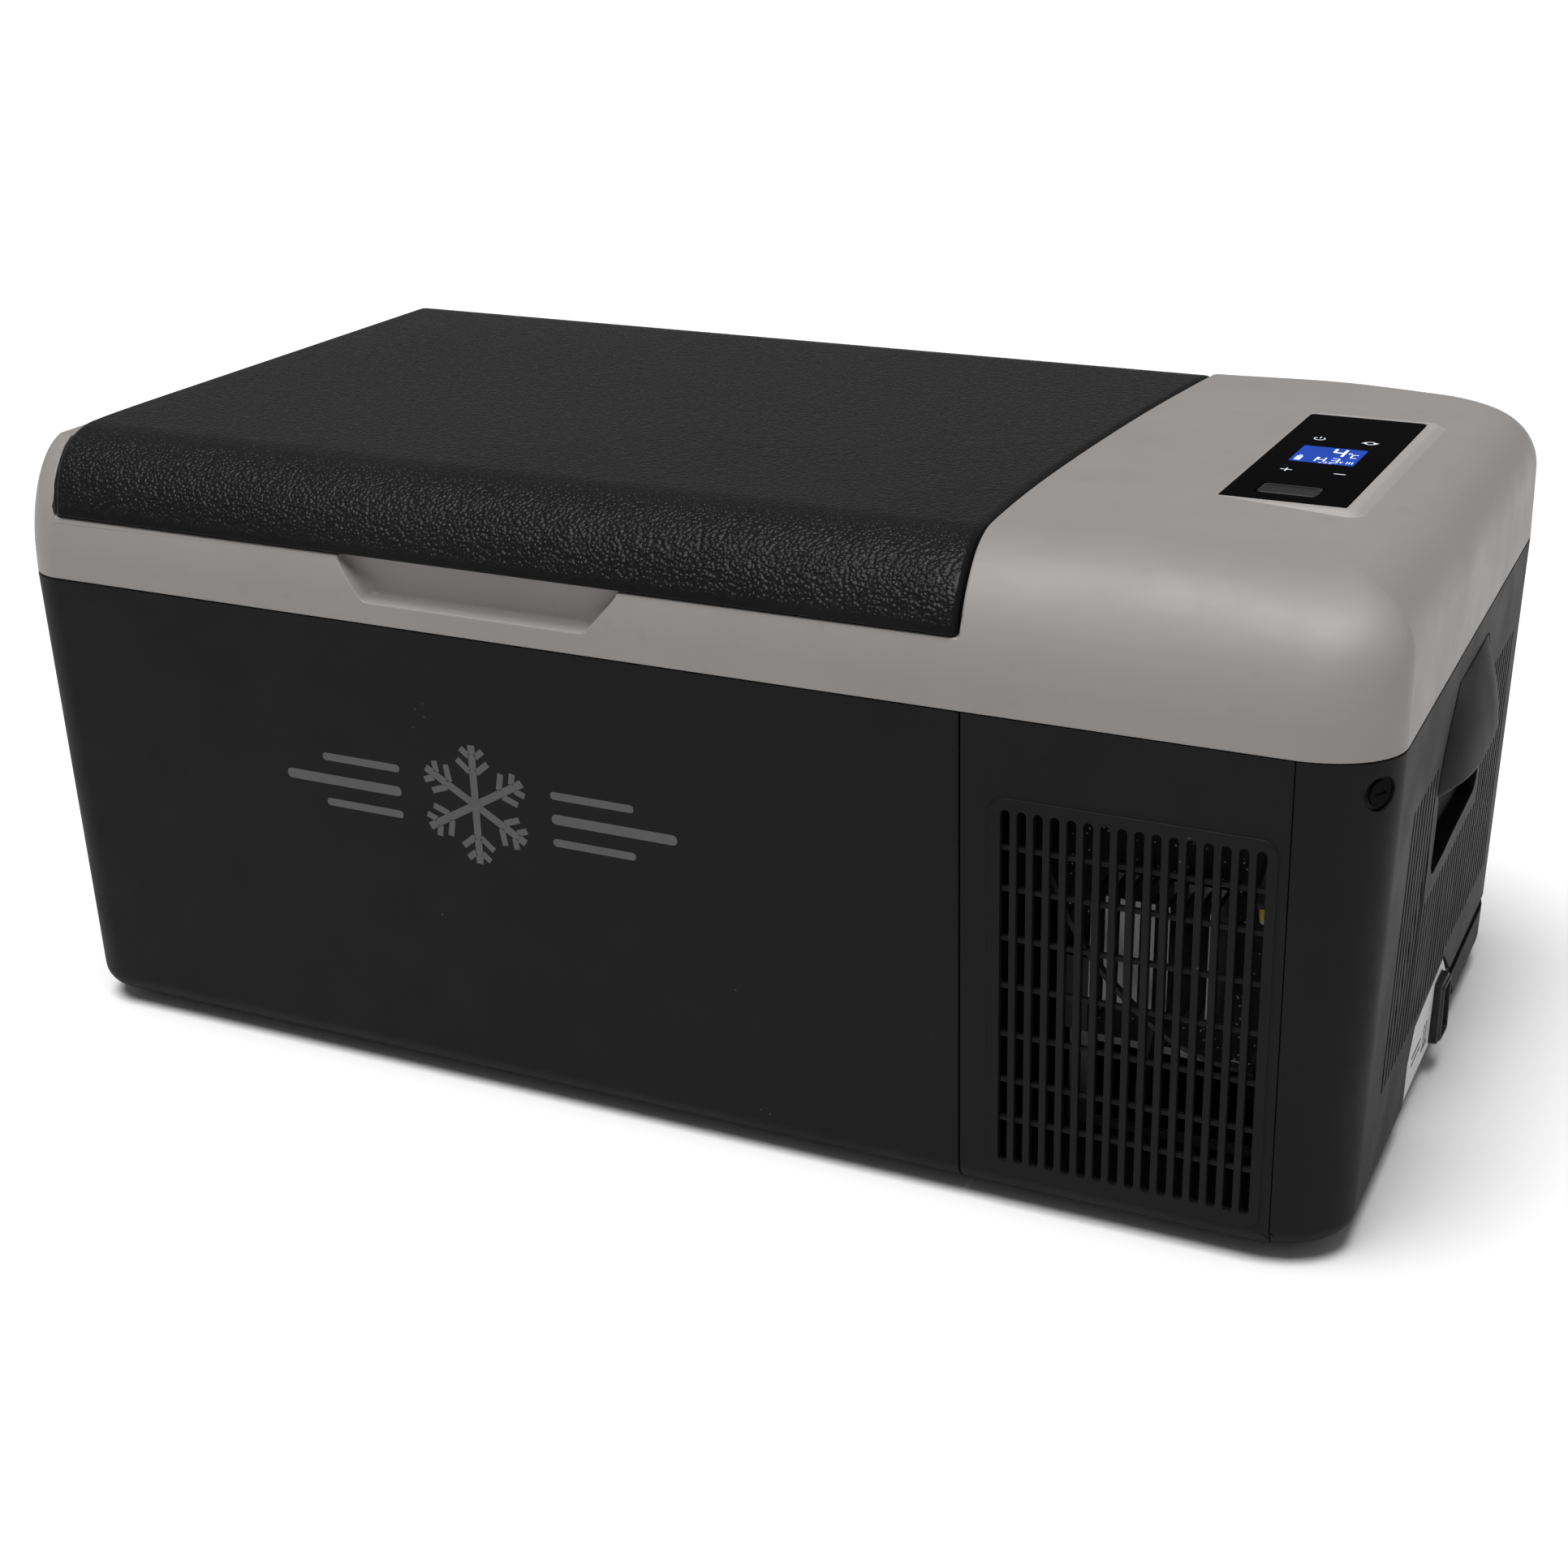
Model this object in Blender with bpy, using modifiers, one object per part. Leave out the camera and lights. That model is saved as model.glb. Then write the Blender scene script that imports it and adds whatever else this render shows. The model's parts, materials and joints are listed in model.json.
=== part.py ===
"""Compressor cooler fridge: a 15 litre travel fridge with a hinged lid and a machine compartment.

The frame stands on the floor at z = 0, +X runs along the fridge towards the machine compartment,
and the front faces -Y. All the sizes below are in millimetres and become metres in the meshes.
"""
import math

import bmesh
import bpy
from mathutils import Matrix, Vector

MM = 0.001
NAME = "compressor_cooler_fridge"

# ---------------------------------------------------------------- driving dimensions
GAP = 0.3                  # clearance between neighbouring pieces
HALF_LENGTH = 277.5        # at the parting line between the black housing and the grey frame
HALF_DEPTH = 161.0
FLOOR_Z = 5.0              # underside of the housing, on its feet
PARTING_Z = 195.0
LEDGE_Z = 220.2            # top of the frame's ledge, under the lid
CHEEK_Z = 246.0            # top of the frame's left cheek
COVER_Z = 248.5            # top of the machine cover
LID_Z = 249.5
SEAM_X = 137.2             # seam between the tub housing and the machine compartment
PANEL_SEAM_X = 254.6       # seam between the grille panels and the side panel
SIDE_TAPER = 0.027         # inward lean of the housing's ends, per millimetre of height
FACE_TAPER = 0.030         # inward lean of its front and back
FRAME_TAPER = 0.010
CORNER_LEFT = 20.0         # plan radii
CORNER_FRONT_RIGHT, CORNER_REAR_RIGHT = 26.0, 38.0
END_LEAN = 8.0             # the end wall stands this much further out at its front than at its rear
LEAN_X0, LEAN_X1 = 247.0, 277.5
LEAN_FRONT_Y, LEAN_REAR_Y = -135.0, 123.0
BASE_ROUND = 10.0
ROUND_FRONT, ROUND_REAR, ROUND_LEFT, ROUND_RIGHT = 45.0, 25.0, 5.0, 24.0
CORNER_STEPS = 5

HOUSING_WALL = 2.6
FRAME_WALL = 2.8
TUB_X0, TUB_X1, TUB_HALF_Y = -243.0, 97.0, 120.0      # inside of the food tub
TUB_FLOOR_Z, TUB_RIM_Z, TUB_WALL = 30.0, 213.5, 2.0
TUB_CORNER, TUB_FLANGE = 16.0, 8.0
SLEEVE_THICK, SLEEVE_Z0, SLEEVE_Z1 = 1.2, 45.0, 200.0
PARTITION_WALL = 2.8       # wall of the tub housing that faces the machine compartment

LID_FRONT_Y, LID_REAR_Y, LID_BASE_Z, LID_WALL = -161.3, 157.0, 220.8, 3.0
LID_WAIST_Y = -44.0        # where the lid is narrowest
LID_RIGHT_WAIST, LID_LEFT_WAIST = 126.0, -271.0
LID_LEFT_TURN = 16.7       # how far the lid's left side turns in at its front
PLAN_STEP = 12.0
LID_SLOT = 1.0             # gap beside the lid

HINGE_Y, HINGE_Z, BARREL_R, PIN_R = 157.2, 222.6, 3.8, 1.6
HINGE_XS = (-170.0, 40.0)
LUG_WIDTH, KNUCKLE_WIDTH = 8.0, 16.0

RECESS_TOP, RECESS_BASE = (-124.0, 6.0), (-107.5, -11.0)   # finger recess in the front band
RECESS_Z, RECESS_Y = 204.0, -152.5

SLOT_COUNT, SLOT_X0, SLOT_X1, SLOT_Z0, SLOT_Z1, SLOT_WIDTH = 16, 154.4, 245.4, 19.8, 161.2, 3.4
SLIT_COUNT, SLIT_Y0, SLIT_Y1, SLIT_Z0, SLIT_Z1, SLIT_WIDTH = 35, -103.0, 108.0, 49.0, 160.0, 2.4

HOOD_TOP, HOOD_LIP, HOOD_OUT, HOOD_HALF, HOOD_TOP_HALF = 184.0, 146.0, 9.5, 54.0, 30.0
POCKET_HALF, POCKET_Z0, POCKET_Z1, POCKET_DEEP, POCKET_WALL = 53.0, 112.0, 172.0, 14.0, 2.5

NOTCH = [(-45, -1), (-45, 32), (-37, 44), (21, 49), (42, 33.5), (180, 33.5), (180, -1)]
LABEL = [(-44, 8), (-44, 31.8), (-36.4, 43.2), (20.8, 48), (62, 11)]
SOCKET_X0, SOCKET_X1, SOCKET_Y0, SOCKET_Y1, SOCKET_Z0, SOCKET_Z1 = 262.0, 279.6, 8.0, 24.5, 14.5, 41.5

PLATFORM_TOP = 250.6
GLASS_X0, GLASS_X1, GLASS_Y0, GLASS_Y1, GLASS_Z0, GLASS_Z1 = 194.0, 240.5, -53.0, 79.0, 248.6, 250.8
FLAP_X0, FLAP_X1, FLAP_Y0, FLAP_Y1, FLAP_THICK = 205.0, 227.5, -44.0, -31.0, 1.6

FAN_X, FAN_Z, FAN_Y0, FAN_Y1, FAN_HALF = 204.0, 88.0, 119.0, 144.0, 46.0
FAN_BORE_R, BLADE_R, HUB_R, BLADE_COUNT = 43.0, 41.0, 18.0, 7
FAN_STRUT, FAN_STRUT_THICK, ROTOR_LENGTH, BLADE_THICK, BLADE_PITCH = 4.0, 3.0, 17.0, 1.6, 38.0
CORE_X0, CORE_X1, CORE_Y0, CORE_Y1, CORE_Z0, CORE_Z1 = 154.0, 254.0, 92.0, 114.0, 30.0, 146.0
CORE_FINS, CORE_RIM, FIN_THICK = 20, 3.0, 2.0
COIL_ROWS, COIL_PITCH, COIL_TOP_Z, COIL_R = 5, 20.0, 136.0, 2.3
BOARD_X0, BOARD_X1, BOARD_Y0, BOARD_Y1, BOARD_Z0, BOARD_Z1 = 158.0, 252.0, -101.6, -100.0, 50.0, 152.0
SINK_X0, SINK_X1, SINK_FRONT_Y, SINK_Z0, SINK_Z1 = 176.0, 222.0, -128.0, 76.0, 120.0
SINK_BASE, SINK_FINS = 4.0, 8
COMPRESSOR_X, COMPRESSOR_Y, COMPRESSOR_R = 200.0, 26.0, 42.0
LINE_HOLE_Y, LINE_HOLE_Z, LINE_HOLE_R = 62.0, 168.0, 9.0

SCREW_Z, SCREW_ANGLE, SCREW_RECESS_R, SCREW_RECESS_DEPTH = 183.0, 31.0, 6.2, 1.8
SCREW_HEAD_R, SCREW_HEAD_THICK = 4.6, 1.0

COLOURS = {
    "black_housing": ((0.028, 0.028, 0.030), 0.50, 0.0),
    "grey_frame": ((0.275, 0.255, 0.240), 0.48, 0.0),
    "lid_black": ((0.020, 0.020, 0.021), 0.55, 0.0),
    "liner_grey": ((0.62, 0.63, 0.64), 0.45, 0.0),
    "foam": ((0.80, 0.72, 0.45), 0.90, 0.0),
    "aluminium": ((0.75, 0.76, 0.78), 0.35, 1.0),
    "steel": ((0.60, 0.60, 0.61), 0.30, 1.0),
    "compressor_black": ((0.020, 0.020, 0.022), 0.35, 0.0),
    "copper": ((0.72, 0.36, 0.20), 0.30, 1.0),
    "rubber": ((0.022, 0.022, 0.022), 0.80, 0.0),
    "glass_black": ((0.006, 0.006, 0.007), 0.08, 0.0),
    "screen_blue": ((0.015, 0.070, 0.520), 0.25, 0.0),
    "board_green": ((0.020, 0.130, 0.060), 0.50, 0.0),
    "label_grey": ((0.66, 0.66, 0.65), 0.45, 0.0),
    "brass": ((0.70, 0.55, 0.25), 0.30, 1.0),
    "lens": ((0.85, 0.86, 0.88), 0.25, 0.0),
    "wire_black": ((0.015, 0.015, 0.015), 0.50, 0.0),
    "wire_yellow": ((0.75, 0.60, 0.05), 0.50, 0.0),
}


# ---------------------------------------------------------------- scene and materials
def clear_scene():
    for item in list(bpy.context.scene.objects):
        bpy.data.objects.remove(item, do_unlink=True)


def collection(name):
    group = bpy.data.collections.new(name)
    bpy.context.scene.collection.children.link(group)
    return group


def material(name):
    if name in bpy.data.materials:
        return bpy.data.materials[name]
    colour, roughness, metallic = COLOURS[name]
    result = bpy.data.materials.new(name)
    result.use_nodes = True
    shader = result.node_tree.nodes["Principled BSDF"]
    shader.inputs["Base Color"].default_value = (*colour, 1.0)
    shader.inputs["Roughness"].default_value = roughness
    shader.inputs["Metallic"].default_value = metallic
    result.diffuse_color = (*colour, 1.0)
    return result


def add(name, mesh, finish=None, smooth=None):
    """Link a mesh as a part with a finish, or as a cutter without one."""
    item = bpy.data.objects.new(name, mesh)
    if finish is None:
        CUTTERS.objects.link(item)
        item.hide_render = True
        item.display_type = "WIRE"
    else:
        PARTS.objects.link(item)
        mesh.materials.append(material(finish))
    if smooth is not None:
        mesh.shade_smooth()
        mesh.set_sharp_from_angle(angle=math.radians(smooth))
    return item


def finish_mesh(bm, name):
    """Close a bmesh drawn in millimetres into a mesh in metres."""
    bmesh.ops.recalc_face_normals(bm, faces=bm.faces)
    bmesh.ops.scale(bm, vec=(MM, MM, MM), verts=bm.verts)
    mesh = bpy.data.meshes.new(name)
    bm.to_mesh(mesh)
    bm.free()
    return mesh


# ---------------------------------------------------------------- solids
def box(name, low, high, finish=None):
    return boxes(name, [(low, high)], finish)


def boxes(name, pairs, finish=None):
    """Separate boxes in one mesh: one box for a part, or any number for a cutter."""
    bm = bmesh.new()
    for low, high in pairs:
        made = bmesh.ops.create_cube(bm, size=1.0)["verts"]
        bmesh.ops.scale(bm, vec=[b - a for a, b in zip(low, high)], verts=made)
        bmesh.ops.translate(bm, vec=[(a + b) / 2 for a, b in zip(low, high)], verts=made)
    return add(name, finish_mesh(bm, name), finish)


TURN = {"X": Matrix.Rotation(math.pi / 2, 3, "Y"), "Y": Matrix.Rotation(-math.pi / 2, 3, "X"),
        "Z": Matrix.Identity(3)}


def cylinder(name, centre, axis, radius, length, finish=None, steps=24, top_radius=None):
    bm = bmesh.new()
    bmesh.ops.create_cone(bm, cap_ends=True, segments=steps, radius1=radius,
                          radius2=radius if top_radius is None else top_radius, depth=length)
    bmesh.ops.rotate(bm, cent=(0, 0, 0), matrix=TURN[axis], verts=bm.verts)
    bmesh.ops.translate(bm, vec=centre, verts=bm.verts)
    return add(name, finish_mesh(bm, name), finish, 40)


def prism(name, outlines, axis, low, high, finish=None):
    """Extrude flat outlines along an axis; outlines are (x, y), (y, z) or (x, z) pairs in axis order."""
    place = {"Z": lambda a, b: (a, b, low),
             "X": lambda a, b: (low, a, b),
             "Y": lambda a, b: (a, low, b)}[axis]
    lift = {"Z": (0, 0, high - low), "X": (high - low, 0, 0), "Y": (0, high - low, 0)}[axis]
    bm = bmesh.new()
    for outline in outlines:
        face = bm.faces.new([bm.verts.new(place(a, b)) for a, b in outline])
        made = bmesh.ops.extrude_face_region(bm, geom=[face])["geom"]
        bmesh.ops.translate(bm, vec=lift, verts=[v for v in made if isinstance(v, bmesh.types.BMVert)])
    return add(name, finish_mesh(bm, name), finish)


def loft(name, rings, finish=None, smooth=None):
    """Skin a stack of rings that all have the same number of points, and cap both ends."""
    bm = bmesh.new()
    rows = [[bm.verts.new(point) for point in ring] for ring in rings]
    for lower, upper in zip(rows, rows[1:]):
        for i in range(len(lower)):
            j = (i + 1) % len(lower)
            bm.faces.new((lower[i], lower[j], upper[j], upper[i]))
    bm.faces.new(list(reversed(rows[0])))
    bm.faces.new(rows[-1])
    return add(name, finish_mesh(bm, name), finish, smooth)


def turned(name, profile, centre, finish, steps=28):
    """A solid of revolution about Z: (radius, height) pairs from the top of the axis to its base."""
    mesh = bpy.data.meshes.new(name)
    points = [(r * MM, 0, z * MM) for r, z in profile]
    mesh.from_pydata(points, [(i, i + 1) for i in range(len(points) - 1)], [])
    item = add(name, mesh, finish)
    item.location = Vector(centre) * MM
    screw = item.modifiers.new("turn", "SCREW")
    screw.steps = screw.render_steps = steps
    screw.use_merge_vertices = True
    screw.merge_threshold = 0.0001
    screw.use_smooth_shade = True
    return item


def tube(name, route, radius, finish, sides=2):
    """A wire or pipe along hand-set points, smoothed, with round section and filled ends."""
    points = smooth_route(route, 3)
    curve = bpy.data.curves.new(name, "CURVE")
    curve.dimensions = "3D"
    curve.bevel_depth = radius * MM
    curve.bevel_resolution = sides
    curve.use_fill_caps = True
    spline = curve.splines.new("POLY")
    spline.points.add(len(points) - 1)
    for knot, point in zip(spline.points, points):
        knot.co = (*(point * MM), 1.0)
    curve.materials.append(material(finish))
    item = bpy.data.objects.new(name, curve)
    PARTS.objects.link(item)
    return item


def smooth_route(route, steps):
    """Points on a Catmull-Rom curve through the route."""
    knots = [Vector(p) for p in route]
    knots = [2 * knots[0] - knots[1]] + knots + [2 * knots[-1] - knots[-2]]
    points = []
    for a, b, c, d in zip(knots, knots[1:], knots[2:], knots[3:]):
        for k in range(steps):
            t = k / steps
            points.append(0.5 * (2 * b + (c - a) * t + (2 * a - 5 * b + 4 * c - d) * t * t
                                 + (3 * b - a - 3 * c + d) * t ** 3))
    return points + [knots[-2]]


def combine(target, other, operation):
    step = target.modifiers.new(operation.lower(), "BOOLEAN")
    step.operation = operation
    step.solver = "EXACT"
    step.object = other


def cut(target, *tools):
    for tool in tools:
        combine(target, tool, "DIFFERENCE")
    return target


def keep(target, tool):
    combine(target, tool, "INTERSECT")
    return target


def join(target, *others):
    for other in others:
        combine(target, other, "UNION")
    return target


# ---------------------------------------------------------------- outlines
def ring(z, x0, x1, y0, y1, left, right, steps=CORNER_STEPS):
    """A rounded rectangle; left and right hold the corner's (x, y) radii for the front and the rear."""
    corners = [(x0, y0, left[0], 1, 1, 180), (x1, y0, right[0], -1, 1, 270),
               (x1, y1, right[1], -1, -1, 0), (x0, y1, left[1], 1, -1, 90)]
    points = []
    for x, y, (rx, ry), sx, sy, start in corners:
        for k in range(steps + 1):
            angle = math.radians(start + 90 * k / steps)
            points.append((x + sx * rx + rx * math.cos(angle), y + sy * ry + ry * math.sin(angle), z))
    return points


def lean(x, y):
    """Where a point of the casing's plan comes to once the end wall leans out towards the front."""
    across = min(max((x - LEAN_X0) / (LEAN_X1 - LEAN_X0), 0.0), 1.0)
    along = min(max((LEAN_REAR_Y - y) / (LEAN_REAR_Y - LEAN_FRONT_Y), 0.0), 1.0)
    return x + END_LEAN * across * along


def inset_ring(z, half_x, half_y, front, rear, left, right):
    """A plan ring of the casing whose four sides are moved in by the given amounts."""
    def sharp(dx, dy):
        return max(CORNER_LEFT - dx, 1.5), max(CORNER_LEFT - dy, 1.5)

    def soft(corner, dx, dy):
        return max(corner - 0.6 * dx, 8.0), max(corner - 0.6 * dy, 8.0)
    points = ring(z, -half_x + left, half_x - right, -half_y + front, half_y - rear,
                  (sharp(left, front), sharp(left, rear)),
                  (soft(CORNER_FRONT_RIGHT, right, front), soft(CORNER_REAR_RIGHT, right, rear)))
    return [(lean(x, y), y, z) for x, y, z in points]


def housing_size(z):
    drop = PARTING_Z - z
    return HALF_LENGTH - SIDE_TAPER * drop, HALF_DEPTH - FACE_TAPER * drop


def housing_x(z):
    return housing_size(z)[0]


def housing_rings(offset, top):
    """Rings of the black housing, moved in by the offset, from its rounded base to the top."""
    rounding = BASE_ROUND - offset
    rings = []
    for k in range(4):
        angle = math.radians(30 * k)
        z = FLOOR_Z + offset + rounding * (1 - math.cos(angle))
        inset = offset + rounding * (1 - math.sin(angle))
        rings.append(inset_ring(z, *housing_size(z), inset, inset, inset, inset))
    rings.append(inset_ring(top, *housing_size(top), offset, offset, offset, offset))
    return rings


def round_in(z, top, radius):
    """How far a rounded top edge has moved in at a height."""
    rise = z - (top - radius)
    return 0.0 if rise <= 0 else radius - math.sqrt(max(radius ** 2 - rise ** 2, 0.0))


def frame_ring(z, offset, top):
    half_x = HALF_LENGTH - FRAME_TAPER * (z - PARTING_Z)
    half_y = HALF_DEPTH - FRAME_TAPER * (z - PARTING_Z)
    insets = [offset + round_in(z, top, r - offset)
              for r in (ROUND_FRONT, ROUND_REAR, ROUND_LEFT, ROUND_RIGHT)]
    return inset_ring(z, half_x, half_y, *insets)


def frame_rings(offset, base, top, flat_top=None):
    """Rings of the grey frame's outside, moved in by the offset, up to its crown or a flat top."""
    radius = ROUND_FRONT - offset
    heights = [base, top - radius]
    heights += [top - radius + radius * math.sin(math.radians(15 * k)) for k in range(1, 7)]
    if flat_top is not None:
        heights = [z for z in heights if z < flat_top - 1] + [flat_top]
    return [frame_ring(z, offset, top) for z in heights]


def lid_right(y):
    return LID_RIGHT_WAIST + (0.00026 if y > LID_WAIST_Y else 0.00064) * (y - LID_WAIST_Y) ** 2


def lid_left(y):
    turn = max((LID_WAIST_Y - y) / (LID_WAIST_Y - LID_FRONT_Y), 0.0)
    return LID_LEFT_WAIST + LID_LEFT_TURN * turn ** 5


def lid_plan(offset, front, rear):
    """Plan outline of the lid moved in by the offset on its two sides."""
    ys = [front] + [PLAN_STEP * k for k in range(-15, 16) if front < PLAN_STEP * k < rear] + [rear]
    return [(lid_right(y) - offset, y) for y in ys] + [(lid_left(y) + offset, y) for y in reversed(ys)]


def lid_section(offset, base, rear_y):
    """Side view of the lid: (y, z) points from the front foot over the crown to the rear foot."""
    top, front = LID_Z - offset, LID_FRONT_Y + offset
    r_front, r_rear = ROUND_FRONT - offset, ROUND_REAR - offset
    points = []
    first = math.degrees(math.asin((base - (top - r_front)) / r_front))
    for k in range(7):
        angle = math.radians(first + (90 - first) * k / 6)
        points.append((front + r_front - r_front * math.cos(angle),
                       top - r_front + r_front * math.sin(angle)))
    last = math.degrees(math.asin(max((base - (top - r_rear)) / r_rear, 0.0)))
    for k in range(6):
        angle = math.radians(90 - (90 - last) * k / 5)
        points.append((rear_y - r_rear + r_rear * math.cos(angle), top - r_rear + r_rear * math.sin(angle)))
    if points[-1][1] > base + 0.01:
        points.append((rear_y, base))
    return points


def lid_solid(name, offset, base, rear_y, finish=None):
    """The lid's outer form, or a smaller copy of it, as the crossing of its plan and its side view."""
    side = prism(name, [lid_section(offset, base, rear_y)], "X", -300, 200, finish)
    return keep(side, prism(name + "_plan", [lid_plan(offset, -170, 170)], "Z", 200, 270))


def rounded_block(name, low, high, corner, finish=None, steps=CORNER_STEPS):
    radii = ((corner, corner), (corner, corner))
    rings = [ring(z, low[0], high[0], low[1], high[1], radii, radii, steps) for z in (low[2], high[2])]
    return loft(name, rings, finish)


def slot_outline(x, z0, z1, width, steps=4):
    radius = width / 2
    outline = []
    for centre, start in ((z1 - radius, 0), (z0 + radius, 180)):
        for k in range(steps + 1):
            angle = math.radians(start + 180 * k / steps)
            outline.append((x + radius * math.cos(angle), centre + radius * math.sin(angle)))
    return outline


# ---------------------------------------------------------------- handles
def hood_rings(side, shrink, levels, back=2.0):
    """D-shaped sections of a handle hood, from behind the end wall outwards; side is +1 or -1."""
    rings = []
    for z in levels:
        fall = min(max((HOOD_TOP - z) / (HOOD_TOP - HOOD_LIP), 0.0), 1.0)
        out = HOOD_OUT * math.sin(math.pi / 2 * fall) ** 0.8 - shrink
        half = HOOD_TOP_HALF + (HOOD_HALF - HOOD_TOP_HALF) * math.sin(math.pi / 2 * fall) - shrink
        wall = housing_x(z)
        points = []
        for k in range(-6, 7):
            y, bulge = half * k / 6, out * max(1 - abs(k / 6) ** 3, 0.02)
            points.append((lean(side * (wall + bulge), y), y, z))
        rings.append(points + [(side * (wall - back), half, z), (side * (wall - back), -half, z)])
    return rings


def handle_tools(side, tag):
    """The hood to add, the pocket's backing to add, and the finger pocket to cut."""
    step = (HOOD_TOP - HOOD_LIP) / 5
    levels = [HOOD_TOP - 1.0] + [HOOD_TOP - step * k for k in range(1, 6)]
    hood = loft(tag + "_hood", hood_rings(side, 0.0, list(reversed(levels))))
    wall = housing_x(POCKET_Z0)
    reach = END_LEAN if side > 0 else -1.0
    xs = sorted((side * (wall - POCKET_DEEP - POCKET_WALL), side * (wall + reach)))
    backing = box(tag + "_backing", (xs[0], -POCKET_HALF - POCKET_WALL, POCKET_Z0 - POCKET_WALL),
                  (xs[1], POCKET_HALF + POCKET_WALL, POCKET_Z1 + POCKET_WALL + 3))
    xs = sorted((side * (wall - POCKET_DEEP), side * (wall - 3.5)))
    pocket = rounded_pocket(tag + "_pocket", xs, POCKET_HALF - 3, POCKET_Z0, POCKET_Z1)
    xs = sorted((side * (wall - 4), side * (wall + 30.0)))
    mouth = rounded_pocket(tag + "_mouth", xs, POCKET_HALF - 3, POCKET_Z0, HOOD_LIP + 1.0)
    inside = [HOOD_TOP - step * k for k in (2, 3, 4)] + [HOOD_LIP - 2]
    hollow = loft(tag + "_hollow", hood_rings(side, 3.2, list(reversed(inside)), 8.0))
    return hood, backing, (pocket, mouth, hollow)


def rounded_pocket(name, xs, half, z0, z1, corner=8.0):
    outline = []
    for y, z, start in ((half - corner, z1 - corner, 0), (-half + corner, z1 - corner, 90),
                        (-half + corner, z0 + corner, 180), (half - corner, z0 + corner, 270)):
        for k in range(4):
            angle = math.radians(start + 30 * k)
            outline.append((y + corner * math.cos(angle), z + corner * math.sin(angle)))
    return prism(name, [outline], "X", xs[0], xs[1])


# ---------------------------------------------------------------- casing
def make_tub_housing():
    """Black outer shell round the food tub, with the left handle."""
    housing = loft("tub_housing", housing_rings(0.0, PARTING_Z - GAP), "black_housing", 30)
    keep(housing, box("tub_side", (-400, -300, -10), (SEAM_X - GAP, 300, 300)))
    hood, backing, pocket = handle_tools(-1, "left")
    inside = loft("tub_housing_inside", housing_rings(HOUSING_WALL, PARTING_Z + 5))
    keep(inside, box("tub_inside_side", (-400, -300, -10), (SEAM_X - GAP - PARTITION_WALL, 300, 300)))
    cut(inside, backing)
    cut(housing, inside)
    join(housing, hood)
    cut(housing, *pocket)
    cut(housing, LINE_HOLE)


def machine_shell(name):
    """The outside of the machine compartment's housing, ready to be trimmed into one panel."""
    return loft(name, housing_rings(0.0, PARTING_Z - GAP), "black_housing", 30)


def make_grille_panel(name, sign, inside):
    shell = machine_shell(name)
    ys = sorted((sign * 170.0, sign * 140.0))
    keep(shell, box(name + "_region", (SEAM_X + GAP, ys[0], -10), (PANEL_SEAM_X - GAP / 2, ys[1], 250)))
    cut(shell, inside)
    pitch = (SLOT_X1 - SLOT_X0) / (SLOT_COUNT - 1)
    outlines = [slot_outline(SLOT_X0 + pitch * k, SLOT_Z0, SLOT_Z1, SLOT_WIDTH) for k in range(SLOT_COUNT)]
    cut(shell, prism(name + "_slots", outlines, "Y", ys[0] - 5, ys[1] + 5))


def make_side_panel(inside):
    """Wrap-round end panel with the slits, the right handle and the notch for the inlet plate."""
    panel = machine_shell("side_panel")
    keep(panel, box("side_region", (PANEL_SEAM_X + GAP / 2, -300, -10), (400, 300, 300)))
    hood, backing, pocket = handle_tools(1, "right")
    cut(panel, inside)
    keep(backing, loft("backing_limit", housing_rings(1.0, PARTING_Z - 6)))
    join(panel, backing, hood)
    cut(panel, *pocket)
    pitch = (SLIT_Y1 - SLIT_Y0) / (SLIT_COUNT - 1)
    slits = []
    for k in range(SLIT_COUNT):
        y = SLIT_Y0 + pitch * k
        top = SLIT_Z1 if abs(y) > HOOD_HALF + 4 else POCKET_Z0 - 8
        slits.append(((240, y - SLIT_WIDTH / 2, SLIT_Z0 if y < 20 else SLIT_Z0 + 4),
                      (300, y + SLIT_WIDTH / 2, top)))
    cut(panel, boxes("side_slits", slits))
    cut(panel, prism("side_notch", [NOTCH], "X", 240, 300))
    for sign, tag in ((-1, "front"), (1, "rear")):
        cut(panel, screw_recess(sign, tag))


def put_on_corner(item, sign, depth):
    """Move a piece to the rounded upright corner, the given depth under its surface."""
    half_x, half_y = housing_size(SCREW_Z)
    angle = math.radians(SCREW_ANGLE)
    corner = CORNER_FRONT_RIGHT if sign < 0 else CORNER_REAR_RIGHT
    x, y = half_x - corner + corner * math.cos(angle), sign * (half_y - corner + corner * math.sin(angle))
    inwards = Vector((-math.cos(angle), -sign * math.sin(angle), 0)) * depth
    item.location = (Vector((lean(x, y), y, SCREW_Z)) + inwards) * MM
    item.rotation_euler = (0, 0, sign * angle)
    return item


def screw_recess(sign, tag):
    """A blind round pocket from the surface inwards."""
    length = 8.0 + SCREW_RECESS_DEPTH
    item = cylinder(tag + "_screw_recess", (0, 0, 0), "X", SCREW_RECESS_R, length, steps=16)
    return put_on_corner(item, sign, SCREW_RECESS_DEPTH - length / 2)


def make_panel_screw(sign, tag):
    """Cross-head screw at the bottom of a corner recess."""
    depth = SCREW_RECESS_DEPTH - GAP - SCREW_HEAD_THICK / 2
    item = cylinder("panel_screw_" + tag, (0, 0, 0), "X", SCREW_HEAD_R, SCREW_HEAD_THICK, "steel", 16)
    put_on_corner(item, sign, depth)
    groove = box(tag + "_screw_slot", (0.0, -2.4, -0.5), (2.0, 2.4, 0.5))
    cut(item, put_on_corner(groove, sign, depth))


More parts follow.
